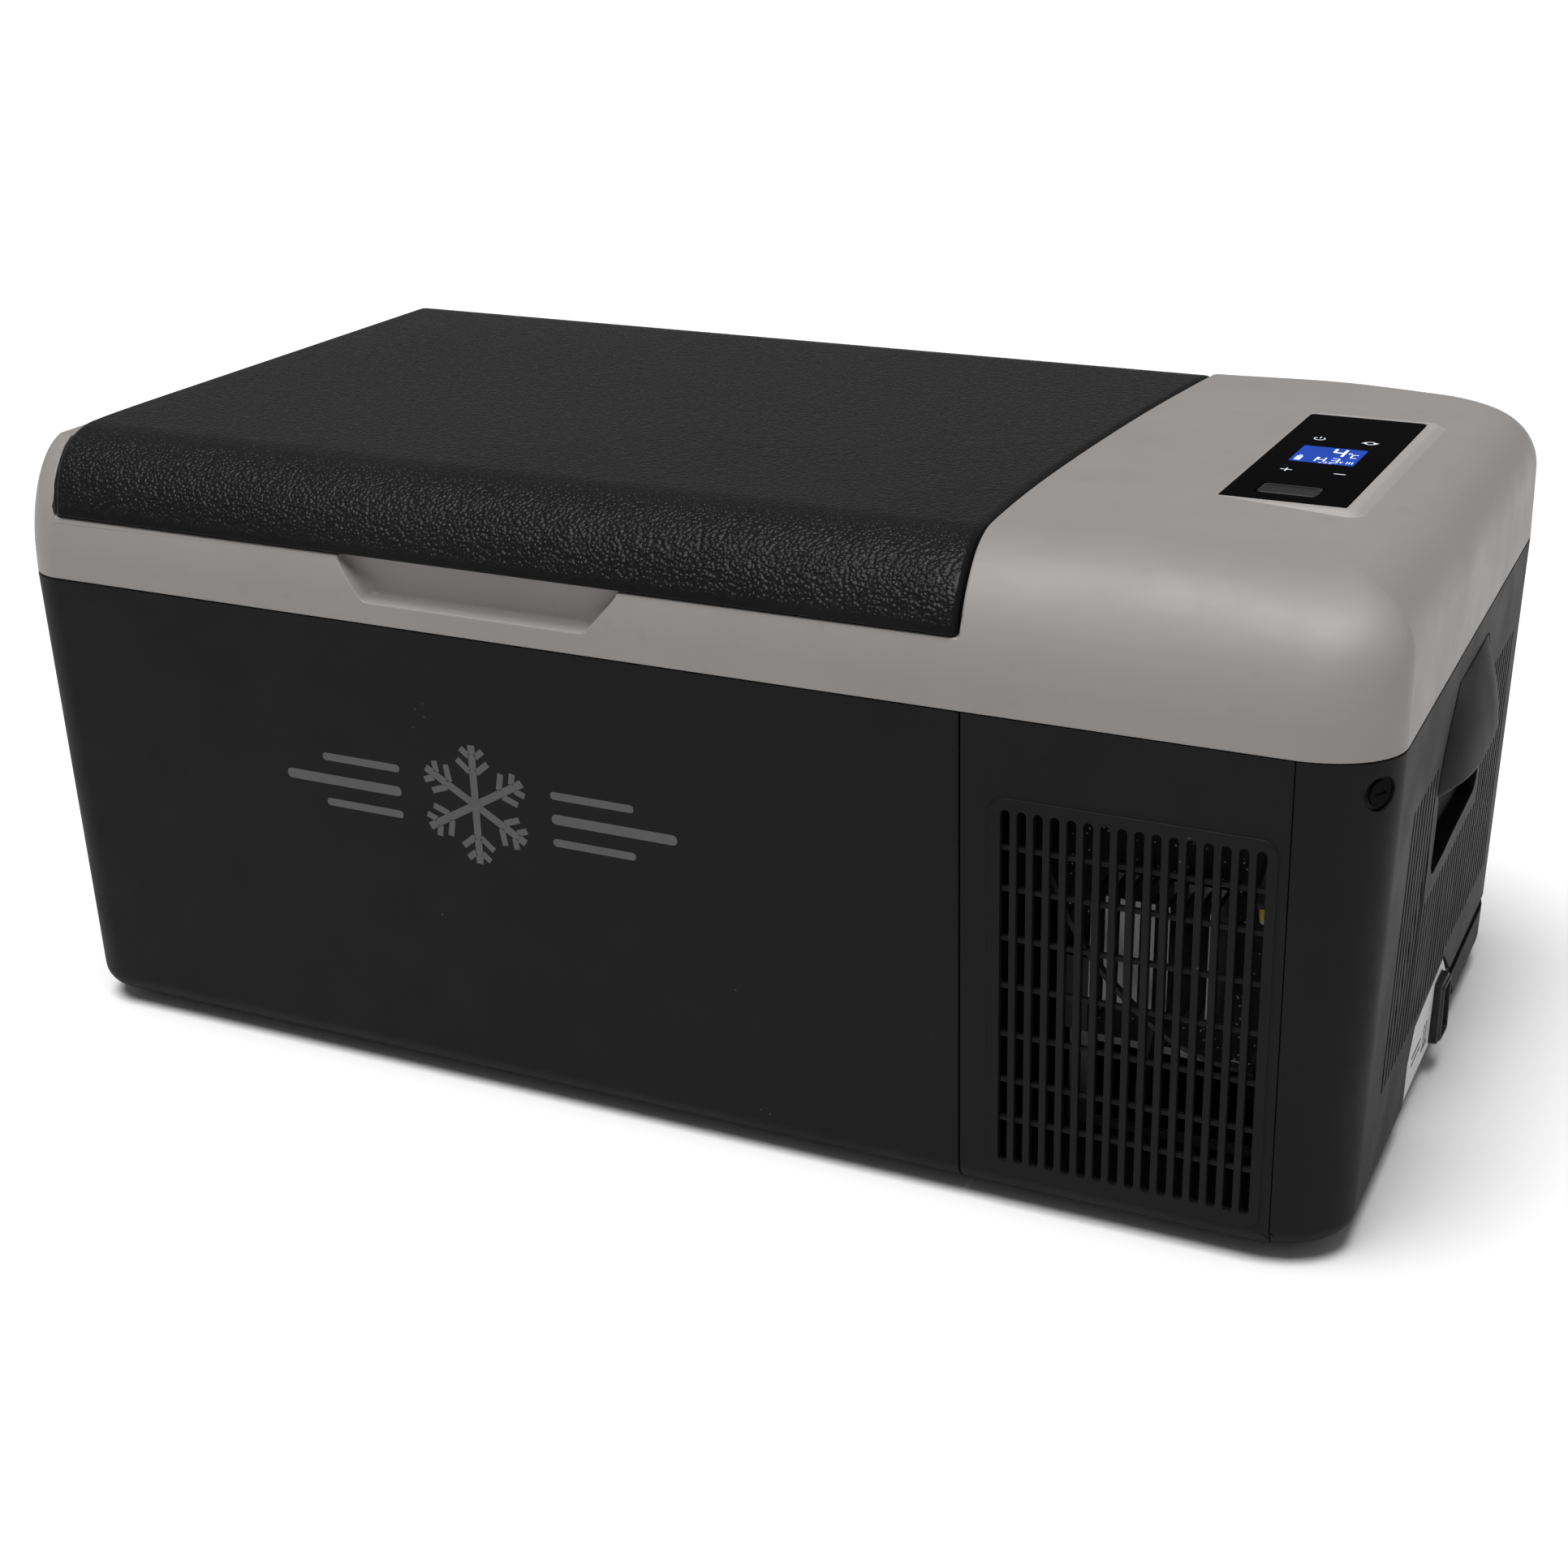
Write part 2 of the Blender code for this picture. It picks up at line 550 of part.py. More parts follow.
def make_base_tray():
    """Floor of the machine compartment with the plate for the inlet and the rear upstand."""
    tray = loft("base_tray", housing_rings(1.5, 60.0), "black_housing", 30)
    edge = PANEL_SEAM_X - GAP / 2
    region = box("tray_floor_region", (SEAM_X + GAP, -139.7, -10), (edge, 139.7, 20))
    shrunk = [(-44.7, -1), (-44.7, 31.8), (-36.7, 43.5), (20.8, 48.4), (41.8, 32.9), (139.7, 32.9),
              (139.7, -1)]
    join(region, prism("tray_plate_region", [shrunk], "X", edge - 5, 290))
    keep(tray, region)
    cut(tray, loft("tray_inside", housing_rings(4.0, 70.0)))
    flush = loft("tray_upstand", housing_rings(0.0, 28.0))
    keep(flush, prism("upstand_region", [[(70, 5.5), (44.5, 28.5), (139.7, 28.5), (139.7, 5.5)]],
                      "X", PANEL_SEAM_X + 3, 300))
    cut(flush, loft("upstand_inside", housing_rings(2.6, 60.0)))
    join(tray, flush)
    cut(tray, box("socket_window", (250, SOCKET_Y0 - GAP, SOCKET_Z0 - GAP),
                  (300, SOCKET_Y1 + GAP, SOCKET_Z1 + GAP)))


def make_label():
    """Thin light plate in the notch, round the inlet."""
    label = loft("inlet_label", housing_rings(0.5, 60.0), "label_grey", 30)
    keep(label, prism("label_region", [LABEL], "X", 262, 300))
    cut(label, loft("label_inside", housing_rings(1.2, 70.0)))
    cut(label, box("label_window", (250, SOCKET_Y0 - GAP, SOCKET_Z0 - GAP),
                   (300, SOCKET_Y1 + GAP, SOCKET_Z1 + GAP)))


def recess_outline(grow):
    """Front view of the finger recess, grown outwards; it stays open at the top."""
    return [(RECESS_TOP[0] - grow, 223), (RECESS_BASE[0] - grow / 2, RECESS_Z - grow),
            (RECESS_BASE[1] + grow / 2, RECESS_Z - grow), (RECESS_TOP[1] + grow, 223)]


def make_top_frame():
    """Grey moulding: band round the tub, left cheek and machine cover in one piece."""
    frame = loft("top_frame", frame_rings(0.0, PARTING_Z, COVER_Z), "grey_frame", 30)
    join(frame, loft("display_platform", [
        ring(z, 188 + d, 249.8 - d, -59 + d, 88 - d, ((4, 4), (4, 4)), ((4, 4), (4, 4)), 3)
        for z, d in ((244, 0), (248, 0), (PLATFORM_TOP, 1.8))]))
    cut(frame, box("cheek_top", (-300, -200, CHEEK_Z), (-200, 200, 270)))
    cut(frame, prism("lid_pocket", [lid_plan(-LID_SLOT, -180, 180)], "Z", LEDGE_Z, 270))
    under = LEDGE_Z - FRAME_WALL
    hollow = loft("band_hollow", frame_rings(FRAME_WALL, PARTING_Z - 1, COVER_Z - FRAME_WALL, under))
    keep(hollow, box("band_side", (-300, -200, 190), (SEAM_X - GAP - 2.8, 200, 230)))
    cut(hollow, box("rim_lip", (TUB_X0 - 3, -TUB_HALF_Y - 3, TUB_RIM_Z + GAP),
                    (TUB_X1 + 3, TUB_HALF_Y + 3, 230)))
    cut(hollow, prism("recess_backing", [recess_outline(FRAME_WALL)], "Y", -180, RECESS_Y + FRAME_WALL))
    cut(frame, hollow)
    cover = loft("cover_hollow", frame_rings(FRAME_WALL, PARTING_Z - 1, COVER_Z - FRAME_WALL))
    keep(cover, box("cover_side", (SEAM_X - GAP, -200, 190), (300, 200, 270)))
    upper = loft("cover_hollow_upper", frame_rings(FRAME_WALL, PARTING_Z - 1, COVER_Z - FRAME_WALL))
    wall = LID_SLOT + FRAME_WALL
    wall_line = [(lid_right(y) + wall, y) for y in [-180 + 24 * k for k in range(16)]]
    keep(upper, prism("cover_upper_side", [wall_line + [(300, 180), (300, -180)]], "Z", LEDGE_Z, 270))
    cut(frame, cover, upper)
    cut(frame, box("tub_mouth", (TUB_X0, -TUB_HALF_Y, 190), (TUB_X1, TUB_HALF_Y, 230)))
    cut(frame, prism("finger_recess", [recess_outline(0)], "Y", -180, RECESS_Y))
    cut(frame, box("glass_seat", (GLASS_X0 - GAP, GLASS_Y0 - GAP, GLASS_Z0 - GAP),
                   (GLASS_X1 + GAP, GLASS_Y1 + GAP, 260)))
    cut(frame, box("glass_window", (GLASS_X0 + 4, GLASS_Y0 + 4, 240), (GLASS_X1 - 4, GLASS_Y1 - 4, 255)))
    add_hinge_lugs(frame)


def add_hinge_lugs(frame):
    offset = (KNUCKLE_WIDTH + LUG_WIDTH) / 2 + GAP
    for i, x in enumerate(HINGE_XS):
        relief = KNUCKLE_WIDTH + 2 * GAP
        cut(frame, cylinder(f"knuckle_relief_{i}", (x, HINGE_Y, HINGE_Z), "X", BARREL_R + 0.6,
                            relief, steps=20))
        for sign in (-1, 1):
            middle = (x + sign * offset, HINGE_Y, HINGE_Z)
            lug = cylinder(f"lug_{i}_{sign}", middle, "X", BARREL_R, LUG_WIDTH)
            join(frame, lug)
        cut(frame, cylinder(f"lug_bore_{i}", (x, HINGE_Y, HINGE_Z), "X", PIN_R + GAP, 60, steps=16))


# ---------------------------------------------------------------- food tub
def make_tub():
    low = (TUB_X0 - TUB_WALL, -TUB_HALF_Y - TUB_WALL, TUB_FLOOR_Z - TUB_WALL)
    high = (TUB_X1 + TUB_WALL, TUB_HALF_Y + TUB_WALL, TUB_RIM_Z)

    def grown(amount, z0, z1, name, finish=None, corner=None):
        return rounded_block(name, (low[0] - amount, low[1] - amount, z0),
                             (high[0] + amount, high[1] + amount, z1), corner or TUB_CORNER + amount, finish)
    tub = grown(0.0, low[2], high[2], "inner_tub", "liner_grey")
    join(tub, grown(TUB_FLANGE, TUB_RIM_Z - TUB_WALL, TUB_RIM_Z, "tub_flange", None, 18))
    cut(tub, grown(-TUB_WALL, TUB_FLOOR_Z, 240, "tub_inside"))
    sleeve = grown(GAP + SLEEVE_THICK, SLEEVE_Z0, SLEEVE_Z1, "evaporator_sleeve", "aluminium")
    cut(sleeve, grown(GAP, SLEEVE_Z0 - 5, SLEEVE_Z1 + 10, "sleeve_inside"))

    foam_offset = HOUSING_WALL + GAP + 0.3
    rings = housing_rings(foam_offset, PARTING_Z - 1)
    rings += frame_rings(FRAME_WALL + GAP, PARTING_Z + 1, COVER_Z - FRAME_WALL - GAP,
                         LEDGE_Z - FRAME_WALL - GAP)
    foam = loft("tub_insulation", rings, "foam", 30)
    keep(foam, box("foam_side", (-400, -300, -10), (SEAM_X - PARTITION_WALL - 2 * GAP, 300, 300)))
    cut(foam, grown(2 * GAP + SLEEVE_THICK, low[2] - GAP, 240, "foam_pocket"))
    cut(foam, grown(TUB_FLANGE + GAP, TUB_RIM_Z - TUB_WALL - GAP, 240, "foam_rebate", None, 18.3))
    cut(foam, prism("foam_recess", [recess_outline(FRAME_WALL + GAP)], "Y",
                    -180, RECESS_Y + FRAME_WALL + GAP))
    wall = housing_x(POCKET_Z0)
    grow = POCKET_WALL + GAP
    cut(foam, box("foam_handle", (-wall - 20, -POCKET_HALF - grow, POCKET_Z0 - grow),
                  (-wall + POCKET_DEEP + grow, POCKET_HALF + grow, POCKET_Z1 + grow + 3)))
    cut(foam, LINE_HOLE)
    rounded_block("interior_light", (TUB_X1 - 3.3, -18, 190), (TUB_X1 - GAP, 18, 202), 1.4, "lens", 2)


# ---------------------------------------------------------------- lid
def make_lid():
    shell = lid_solid("lid_shell", 0.0, LID_BASE_Z, LID_REAR_Y, "lid_black")
    cut(shell, lid_solid("lid_inside", LID_WALL, LID_BASE_Z - 5, LID_REAR_Y - LID_WALL))
    offset = (KNUCKLE_WIDTH + LUG_WIDTH) / 2 + GAP
    for i, x in enumerate(HINGE_XS):
        join(shell, cylinder(f"knuckle_{i}", (x, HINGE_Y, HINGE_Z), "X", BARREL_R, KNUCKLE_WIDTH))
        for sign in (-1, 1):
            cut(shell, cylinder(f"lug_relief_{i}_{sign}", (x + sign * offset, HINGE_Y, HINGE_Z), "X",
                                BARREL_R + 0.6, LUG_WIDTH + 2 * GAP - 0.02, steps=20))
        cut(shell, cylinder(f"knuckle_bore_{i}", (x, HINGE_Y, HINGE_Z), "X", PIN_R + GAP, 60, steps=16))
        length = KNUCKLE_WIDTH + 2 * LUG_WIDTH + 2 * GAP
        name = ("hinge_pin_left", "hinge_pin_right")[i]
        cylinder(name, (x, HINGE_Y, HINGE_Z), "X", PIN_R, length, "steel", 16)
    rear = 151.0
    plan = LID_WALL + 2 * GAP
    outline = lid_plan(plan, LID_FRONT_Y + 11.8, rear)
    liner = prism("lid_liner", [outline], "Z", LID_BASE_Z + 0.4, 229, "liner_grey")
    plug = rounded_block("lid_plug", (TUB_X0 + 5, -TUB_HALF_Y + 5, 211.5),
                         (TUB_X1 - 5, TUB_HALF_Y - 5, 226), 12)
    join(liner, plug)

    def seal(name, grow, z0, z1, finish=None):
        """A frame-shaped band round the tub's mouth."""
        outer = rounded_block(name, (TUB_X0 - 13 - grow, -TUB_HALF_Y - 13 - grow, z0),
                              (TUB_X1 + 13 + grow, TUB_HALF_Y + 13 + grow, z1), 22 + grow, finish)
        inner = rounded_block(name + "_middle", (TUB_X0 - 4 + grow, -TUB_HALF_Y - 4 + grow, z0 - 5),
                              (TUB_X1 + 4 - grow, TUB_HALF_Y + 4 - grow, z1 + 5), 14 - grow)
        return cut(outer, inner)
    cut(liner, seal("seal_groove", GAP, 215, 225.3))
    cut(liner, rounded_block("liner_hollow", (TUB_X0 + 8, -TUB_HALF_Y + 8, 214),
                             (TUB_X1 - 8, TUB_HALF_Y - 8, 240), 10))
    gasket = seal("lid_gasket", 0.0, LEDGE_Z + GAP, 225.0, "rubber")
    foam = lid_solid("lid_insulation", LID_WALL + GAP, 229 + GAP, rear, "foam")
    join(foam, rounded_block("plug_foam", (TUB_X0 + 8.3, -TUB_HALF_Y + 8.3, 214.3),
                             (TUB_X1 - 8.3, TUB_HALF_Y - 8.3, 232), 9.7))
    hang_on_axis("lid_hinge_axis", (sum(HINGE_XS) / 2, HINGE_Y, HINGE_Z), (shell, liner, gasket, foam))


def hang_on_axis(name, place, pieces):
    """Parent moving pieces to an empty on their joint's axis and leave them where they are."""
    axis = bpy.data.objects.new(name, None)
    axis.location = Vector(place) * MM
    PARTS.objects.link(axis)
    for piece in pieces:
        piece.parent = axis
        piece.matrix_parent_inverse = Matrix.Translation(-axis.location)


# ---------------------------------------------------------------- display
def make_display():
    low, high = (GLASS_X0, GLASS_Y0, GLASS_Z0), (GLASS_X1, GLASS_Y1, GLASS_Z1)
    glass = box("display_glass", low, high, "glass_black")
    cut(glass, box("flap_window", (FLAP_X0 - GAP, FLAP_Y0 - GAP, 240), (FLAP_X1 + GAP, FLAP_Y1 + GAP, 260)))
    box("lcd_module", (203, -8, 243.2), (231, 38, GLASS_Z0 - GAP), "screen_blue")
    board = box("display_board", (198.5, -48.5, 241.3), (236, 74.5, 242.9), "board_green")
    x, y = (FLAP_X0 + FLAP_X1) / 2, (FLAP_Y0 + FLAP_Y1) / 2
    top = GLASS_Z1 - FLAP_THICK - 0.6
    usb = box("usb_socket", (x - 7.2, y - 4.4, 233.5), (x + 7.2, y + 3.8, top), "steel")
    cut(usb, box("usb_mouth", (x - 6.2, y - 2.8, 235.5), (x + 6.2, y + 2.4, 260)))
    cut(board, box("usb_hole", (x - 7.5, y - 4.7, 230), (x + 7.5, y + 4.1, 260)))
    flap = rounded_block("usb_cover", (FLAP_X0 + 0.1, FLAP_Y0 + 0.1, GLASS_Z1 - FLAP_THICK),
                         (FLAP_X1 - 0.1, FLAP_Y1 - 0.1, GLASS_Z1), 1.6, "rubber", 2)
    set_origin(flap, (x, FLAP_Y1 - 0.9, GLASS_Z1 - 0.3))


def set_origin(item, place):
    """Move an object's origin to a place and leave its shape where it is."""
    shift = Vector(place) * MM
    item.data.transform(Matrix.Translation(-shift))
    item.location = shift


# ---------------------------------------------------------------- inlet
def make_inlet():
    low, high = (SOCKET_X0, SOCKET_Y0, SOCKET_Z0), (SOCKET_X1, SOCKET_Y1, SOCKET_Z1)
    socket = box("dc_socket", low, high, "black_housing")
    edge = socket.modifiers.new("edge", "BEVEL")
    edge.width = 2.0 * MM
    edge.segments = 2
    cut(socket, box("socket_cavity", (SOCKET_X0 + 2.5, SOCKET_Y0 + 2.3, SOCKET_Z0 + 2.5),
                    (SOCKET_X1 + 5, SOCKET_Y1 - 2.3, SOCKET_Z1 - 2.5)))
    y, z = (SOCKET_Y0 + SOCKET_Y1) / 2, (SOCKET_Z0 + SOCKET_Z1) / 2
    for sign, tag in ((-1, "lower"), (1, "upper")):
        cylinder(f"dc_pin_{tag}", (SOCKET_X0 + 9.3, y, z + 6.5 * sign), "X", 1.2, 13.0, "brass", 12)


# ---------------------------------------------------------------- refrigeration
def make_compressor():
    x, y, r = COMPRESSOR_X, COMPRESSOR_Y, COMPRESSOR_R
    plate_z = 24.0
    rounded_block("compressor_bracket", (x - 50, y - 44, plate_z), (x + 50, y + 44, plate_z + 2), 12,
                  "steel", 3)
    for i, (sx, sy) in enumerate(((-1, -1), (1, -1), (1, 1), (-1, 1))):
        turned(f"isolator_{i + 1}", [(0, 15.0), (6, 15.0), (7.5, 13.5), (5.5, 9), (8, 2), (8, 0.4), (0, 0.4)],
               (x + 41 * sx, y + 35 * sy, 8.7), "rubber", 16)
    lower = [(0, 50), (r, 50), (r, 10), (r - 4, 3), (r - 12, 0), (0, 0)]
    turned("compressor_shell_lower", lower, (x, y, plate_z + 2 + GAP), "compressor_black")
    dome = [(r * math.sin(math.radians(a)), 22 + 26 * math.cos(math.radians(a))) for a in range(0, 91, 15)]
    upper = dome[:-1] + [(r, 22), (r, 5), (r + 3, 4), (r + 3, 0), (0, 0)]
    turned("compressor_shell_upper", upper, (x, y, plate_z + 2 + GAP + 50 + GAP), "compressor_black")
    rounded_block("terminal_cover", (x - 13, y - r - 13, 40), (x + 13, y - r - GAP - 0.5, 70), 3,
                  "compressor_black", 2)


def make_condenser():
    core = box("condenser_core", (CORE_X0, CORE_Y0, CORE_Z0), (CORE_X1, CORE_Y1, CORE_Z1), "aluminium")
    pitch = (CORE_X1 - CORE_X0 - 2 * FIN_THICK) / CORE_FINS
    gaps = []
    for k in range(CORE_FINS):
        x = CORE_X0 + 1 + pitch * k
        gaps.append(((x + FIN_THICK, CORE_Y0 - 5, CORE_Z0 + CORE_RIM),
                     (x + pitch, CORE_Y1 + 5, CORE_Z1 - CORE_RIM)))
    cut(core, boxes("core_gaps", gaps))
    y, z = CORE_Y0 - 3.0, COIL_TOP_Z
    route = [(CORE_X0 - 6, y, z + 4), (CORE_X0 + 2, y, z)]
    for k in range(COIL_ROWS):
        near, far, bulge = (CORE_X0 + 10, CORE_X1 - 10, 8) if k % 2 == 0 else (CORE_X1 - 10, CORE_X0 + 10, -8)
        route += [(near, y, z), ((near + far) / 2, y, z), (far, y, z), (far + bulge, y, z - COIL_PITCH / 2)]
        z -= COIL_PITCH
    route += [(CORE_X1 - 16, y, z), (CORE_X0 + 30, y, z), (CORE_X0 + 8, y, z)]
    tube("condenser_tube", route, COIL_R, "copper", 1)


def make_fan():
    middle = (FAN_Y0 + FAN_Y1) / 2
    depth = FAN_Y1 - FAN_Y0
    frame = box("fan_frame", (FAN_X - FAN_HALF, FAN_Y0, FAN_Z - FAN_HALF),
                (FAN_X + FAN_HALF, FAN_Y1, FAN_Z + FAN_HALF), "wire_black")
    cut(frame, cylinder("fan_bore", (FAN_X, middle, FAN_Z), "Y", FAN_BORE_R, depth + 10, steps=32))
    reach, half = FAN_BORE_R + 2, FAN_STRUT / 2
    back, front = FAN_Y1 - 0.2, FAN_Y1 - 0.2 - FAN_STRUT_THICK
    level_strut = box("fan_strut_x", (FAN_X - reach, front, FAN_Z - half),
                      (FAN_X + reach, back, FAN_Z + half))
    upright = box("fan_strut_z", (FAN_X - half, front + 0.1, FAN_Z - reach),
                  (FAN_X + half, back - 0.1, FAN_Z + reach))
    base = cylinder("fan_motor_base", (FAN_X, FAN_Y1 - 1.9, FAN_Z), "Y", HUB_R, 3.4)
    join(frame, level_strut, upright, base)
    rotor = cylinder("fan_rotor", (0, 0, 0), "Y", HUB_R, ROTOR_LENGTH, "wire_black", 24)
    rotor.location = Vector((FAN_X, FAN_Y0 + 11.0, FAN_Z)) * MM
    bm = bmesh.new()
    for k in range(BLADE_COUNT):
        made = bmesh.ops.create_cube(bm, size=1.0)["verts"]
        bmesh.ops.scale(bm, vec=(ROTOR_LENGTH, BLADE_THICK, BLADE_R - HUB_R + 4), verts=made)
        pitched = Matrix.Rotation(math.radians(BLADE_PITCH), 3, "Z")
        bmesh.ops.rotate(bm, cent=(0, 0, 0), matrix=pitched, verts=made)
        bmesh.ops.translate(bm, vec=(0, 0, (BLADE_R + HUB_R) / 2 - 3), verts=made)
        turn = Matrix.Rotation(2 * math.pi * k / BLADE_COUNT, 3, "Y")
        bmesh.ops.rotate(bm, cent=(0, 0, 0), matrix=turn, verts=made)
    blades = add("fan_blades", finish_mesh(bm, "fan_blades"))
    blades.location = rotor.location
    join(rotor, blades)


def make_plumbing():
    profile = [(0, 90), (2, 90), (2, 84), (8, 74), (8, 14), (2, 4), (2, 0), (0, 0)]
    turned("filter_drier", profile, (152, 74, 44), "copper", 16)
    z = LINE_HOLE_Z
    tube("suction_line", [(102, 62, z), (120, 62, z), (140, 62, z), (156, 62, z), (166, 60, z - 8),
                          (170, 56, z - 26), (172, 50, z - 40), (176, 44, z - 41.5), (180, 38, 124.5)],
         3.2, "copper", 1)
    tube("capillary_tube", [(102, 62, z + 6), (120, 62, z + 6), (142, 62, z + 6), (150, 66, z + 2),
                            (152, 72, z - 12), (152, 74, z - 24), (152, 74, 134.4)], 1.1, "copper", 1)
    tube("discharge_line", [(216, 40, 127), (220, 46, 136), (214, 60, 150), (192, 72, 156), (166, 80, 154),
                            (150, 86, 148), (144, 89, 142), (147.6, 89, 140.4)], 2.3, "copper", 1)


def make_controls():
    box("control_board", (BOARD_X0, BOARD_Y0, BOARD_Z0), (BOARD_X1, BOARD_Y1, BOARD_Z1), "board_green")
    near, far = BOARD_Y1 + GAP, BOARD_Y1 + GAP + 2
    bracket = box("board_bracket", (BOARD_X0 + 2, near, 9.5), (BOARD_X1 - 2, far, BOARD_Z1 - 4), "steel")
    cut(bracket, box("bracket_window", (BOARD_X0 + 12, near - 10, 13),
                     (BOARD_X1 - 10, far + 8, BOARD_Z0 - 4)))
    root = BOARD_Y0 - 0.4
    fins = box("board_heat_sink", (SINK_X0, SINK_FRONT_Y, SINK_Z0), (SINK_X1, root, SINK_Z1), "aluminium")
    pitch = (SINK_X1 - SINK_X0 - FIN_THICK) / SINK_FINS
    gaps = []
    for k in range(SINK_FINS):
        x = SINK_X0 + pitch * k
        gaps.append(((x + FIN_THICK, -140, SINK_Z0 - 6), (x + pitch, root - SINK_BASE, SINK_Z1 + 10)))
    cut(fins, boxes("sink_gaps", gaps))
    box("capacitor_block", (BOARD_X0 + 2, -116, 58), (BOARD_X0 + 14, BOARD_Y0 - GAP, 88), "wire_black")


def make_wiring():
    """Leads that stay inside the machine compartment, along their clipped routes."""
    tube("compressor_lead", [(196, -102.7, 66), (196, -105, 66), (195, -109, 58), (192, -108, 40),
                             (190, -105, 24), (190, -88, 19), (192, -62, 22), (198, -46, 38),
                             (200, -36, 52), (200, -30.1, 52)],
         2.6, "wire_black", 1)
    tube("fan_lead", [(228, -101.9, 146), (228, -106, 147), (230, -106, 155), (238, -98, 160),
                      (250, -60, 160), (256, 0, 159), (256, 60, 158), (254, 90, 156), (249, 112, 153),
                      (244, 127, 147),
                      (242, 131, 140), (242, 131, 134.3)], 1.5, "wire_black", 1)
    tube("dc_lead", [(261.6, 16, 28), (257, 15, 28), (254, 0, 28), (253.5, -40, 26), (250, -70, 26),
                     (238, -92, 28), (234, -104, 36), (234, -109, 50), (236, -107, 60),
                     (238, -105.5, 64), (238, -102.5, 64)],
         2.2, "wire_black", 1)
    tube("sensor_lead", [(138.0, -112, 150), (148, -120, 146), (162, -132, 128), (176, -136, 104),
                         (196, -138, 84), (216, -136, 70), (238, -128, 62), (246, -116, 66),
                         (246, -105.5, 72), (246, -102.6, 72)],
         1.8, "wire_black", 1)
    tube("wire_conduit", [(234, -108.6, 117.4), (234, -109, 121), (236, -114, 130), (240, -118, 144),
                          (243, -117, 165), (242, -106, 188), (236, -80, 210), (231, -54, 226),
                          (228, -34, 232), (225, -22, 234.5), (224, -18, 237), (224, -18, 240.9)],
         3.4, "wire_black", 2)
    tube("display_wires", [(234, -101.9, 110), (234, -105, 110.2), (234, -108, 112), (234, -108.6, 114.5),
                           (234, -108.6, 117.0)], 1.6, "wire_yellow", 1)


def make_feet():
    for end, x, floor in (("left", -232, FLOOR_Z), ("right", 226, FLOOR_Z + 1.5)):
        for face, y in (("front", -124), ("rear", 124)):
            top = floor - GAP
            cylinder(f"foot_{face}_{end}", (x, y, top / 2), "Z", 9.0, top, "rubber", 20, 10.5)


clear_scene()
PARTS = collection(NAME)
CUTTERS = collection("cutters")
LINE_HOLE = cylinder("line_hole", (120, LINE_HOLE_Y, LINE_HOLE_Z + 2), "X", LINE_HOLE_R, 60, steps=16)
MACHINE_INSIDE = loft("machine_inside", housing_rings(2.5, PARTING_Z + 5))

make_tub_housing()
make_grille_panel("front_grille_panel", -1, MACHINE_INSIDE)
make_grille_panel("rear_grille_panel", 1, MACHINE_INSIDE)
make_side_panel(MACHINE_INSIDE)
for side_sign, side_tag in ((-1, "front"), (1, "rear")):
    make_panel_screw(side_sign, side_tag)
make_base_tray()
make_label()
make_top_frame()
make_tub()
make_lid()
make_display()
make_inlet()
make_compressor()
make_condenser()
make_fan()
make_plumbing()
make_controls()
make_wiring()
make_feet()
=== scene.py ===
"""Looks of the compressor cooler fridge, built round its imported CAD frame.

Lengths are in millimetres in the CAD's own frame and become metres in the meshes: +X runs from the
food tub to the machine compartment, the front faces -Y, and the floor is z = 0.
"""
import json
import math

import bmesh
import bpy
from mathutils import Matrix, Vector


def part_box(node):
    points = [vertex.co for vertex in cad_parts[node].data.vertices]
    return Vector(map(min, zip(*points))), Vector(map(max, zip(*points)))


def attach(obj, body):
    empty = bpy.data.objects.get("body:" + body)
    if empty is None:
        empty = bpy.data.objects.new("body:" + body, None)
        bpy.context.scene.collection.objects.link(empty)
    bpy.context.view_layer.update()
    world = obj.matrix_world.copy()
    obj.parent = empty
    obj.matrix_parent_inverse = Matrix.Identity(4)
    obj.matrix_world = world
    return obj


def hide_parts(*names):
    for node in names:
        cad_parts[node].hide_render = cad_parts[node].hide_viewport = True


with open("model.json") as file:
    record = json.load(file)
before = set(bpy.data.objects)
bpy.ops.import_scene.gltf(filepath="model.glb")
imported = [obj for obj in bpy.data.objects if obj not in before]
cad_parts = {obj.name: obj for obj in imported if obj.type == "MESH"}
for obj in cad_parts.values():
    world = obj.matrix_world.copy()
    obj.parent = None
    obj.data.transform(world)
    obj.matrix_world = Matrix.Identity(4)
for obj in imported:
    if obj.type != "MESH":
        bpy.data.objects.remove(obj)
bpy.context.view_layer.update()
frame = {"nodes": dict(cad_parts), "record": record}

MM = 0.001


def cad_box(node):
    low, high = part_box(node)
    return low / MM, high / MM


# ---------------------------------------------------------------- sizes read from the frame
TUB_LOW, TUB_HIGH = cad_box("inner_tub")
FRAME_LOW = cad_box("top_frame")[0]
GLASS_LOW, GLASS_HIGH = cad_box("display_glass")
FLAP_LOW, FLAP_HIGH = cad_box("usb_cover")
SOCKET_LOW, SOCKET_HIGH = cad_box("dc_socket")
GASKET_LOW, GASKET_HIGH = cad_box("lid_gasket")
PIN_LOW, PIN_HIGH = cad_box("hinge_pin_left")

GAP = 0.3
PARTING_Z = FRAME_LOW.z
HALF_LENGTH, HALF_DEPTH = -FRAME_LOW.x, -FRAME_LOW.y
SEAM_X = cad_box("front_grille_panel")[0].x - GAP
PANEL_SEAM_X = cad_box("rear_grille_panel")[1].x + GAP / 2
FLOOR_Z = cad_box("tub_housing")[0].z
CHEEK_X, CHEEK_WELD = -245.0, 0.7

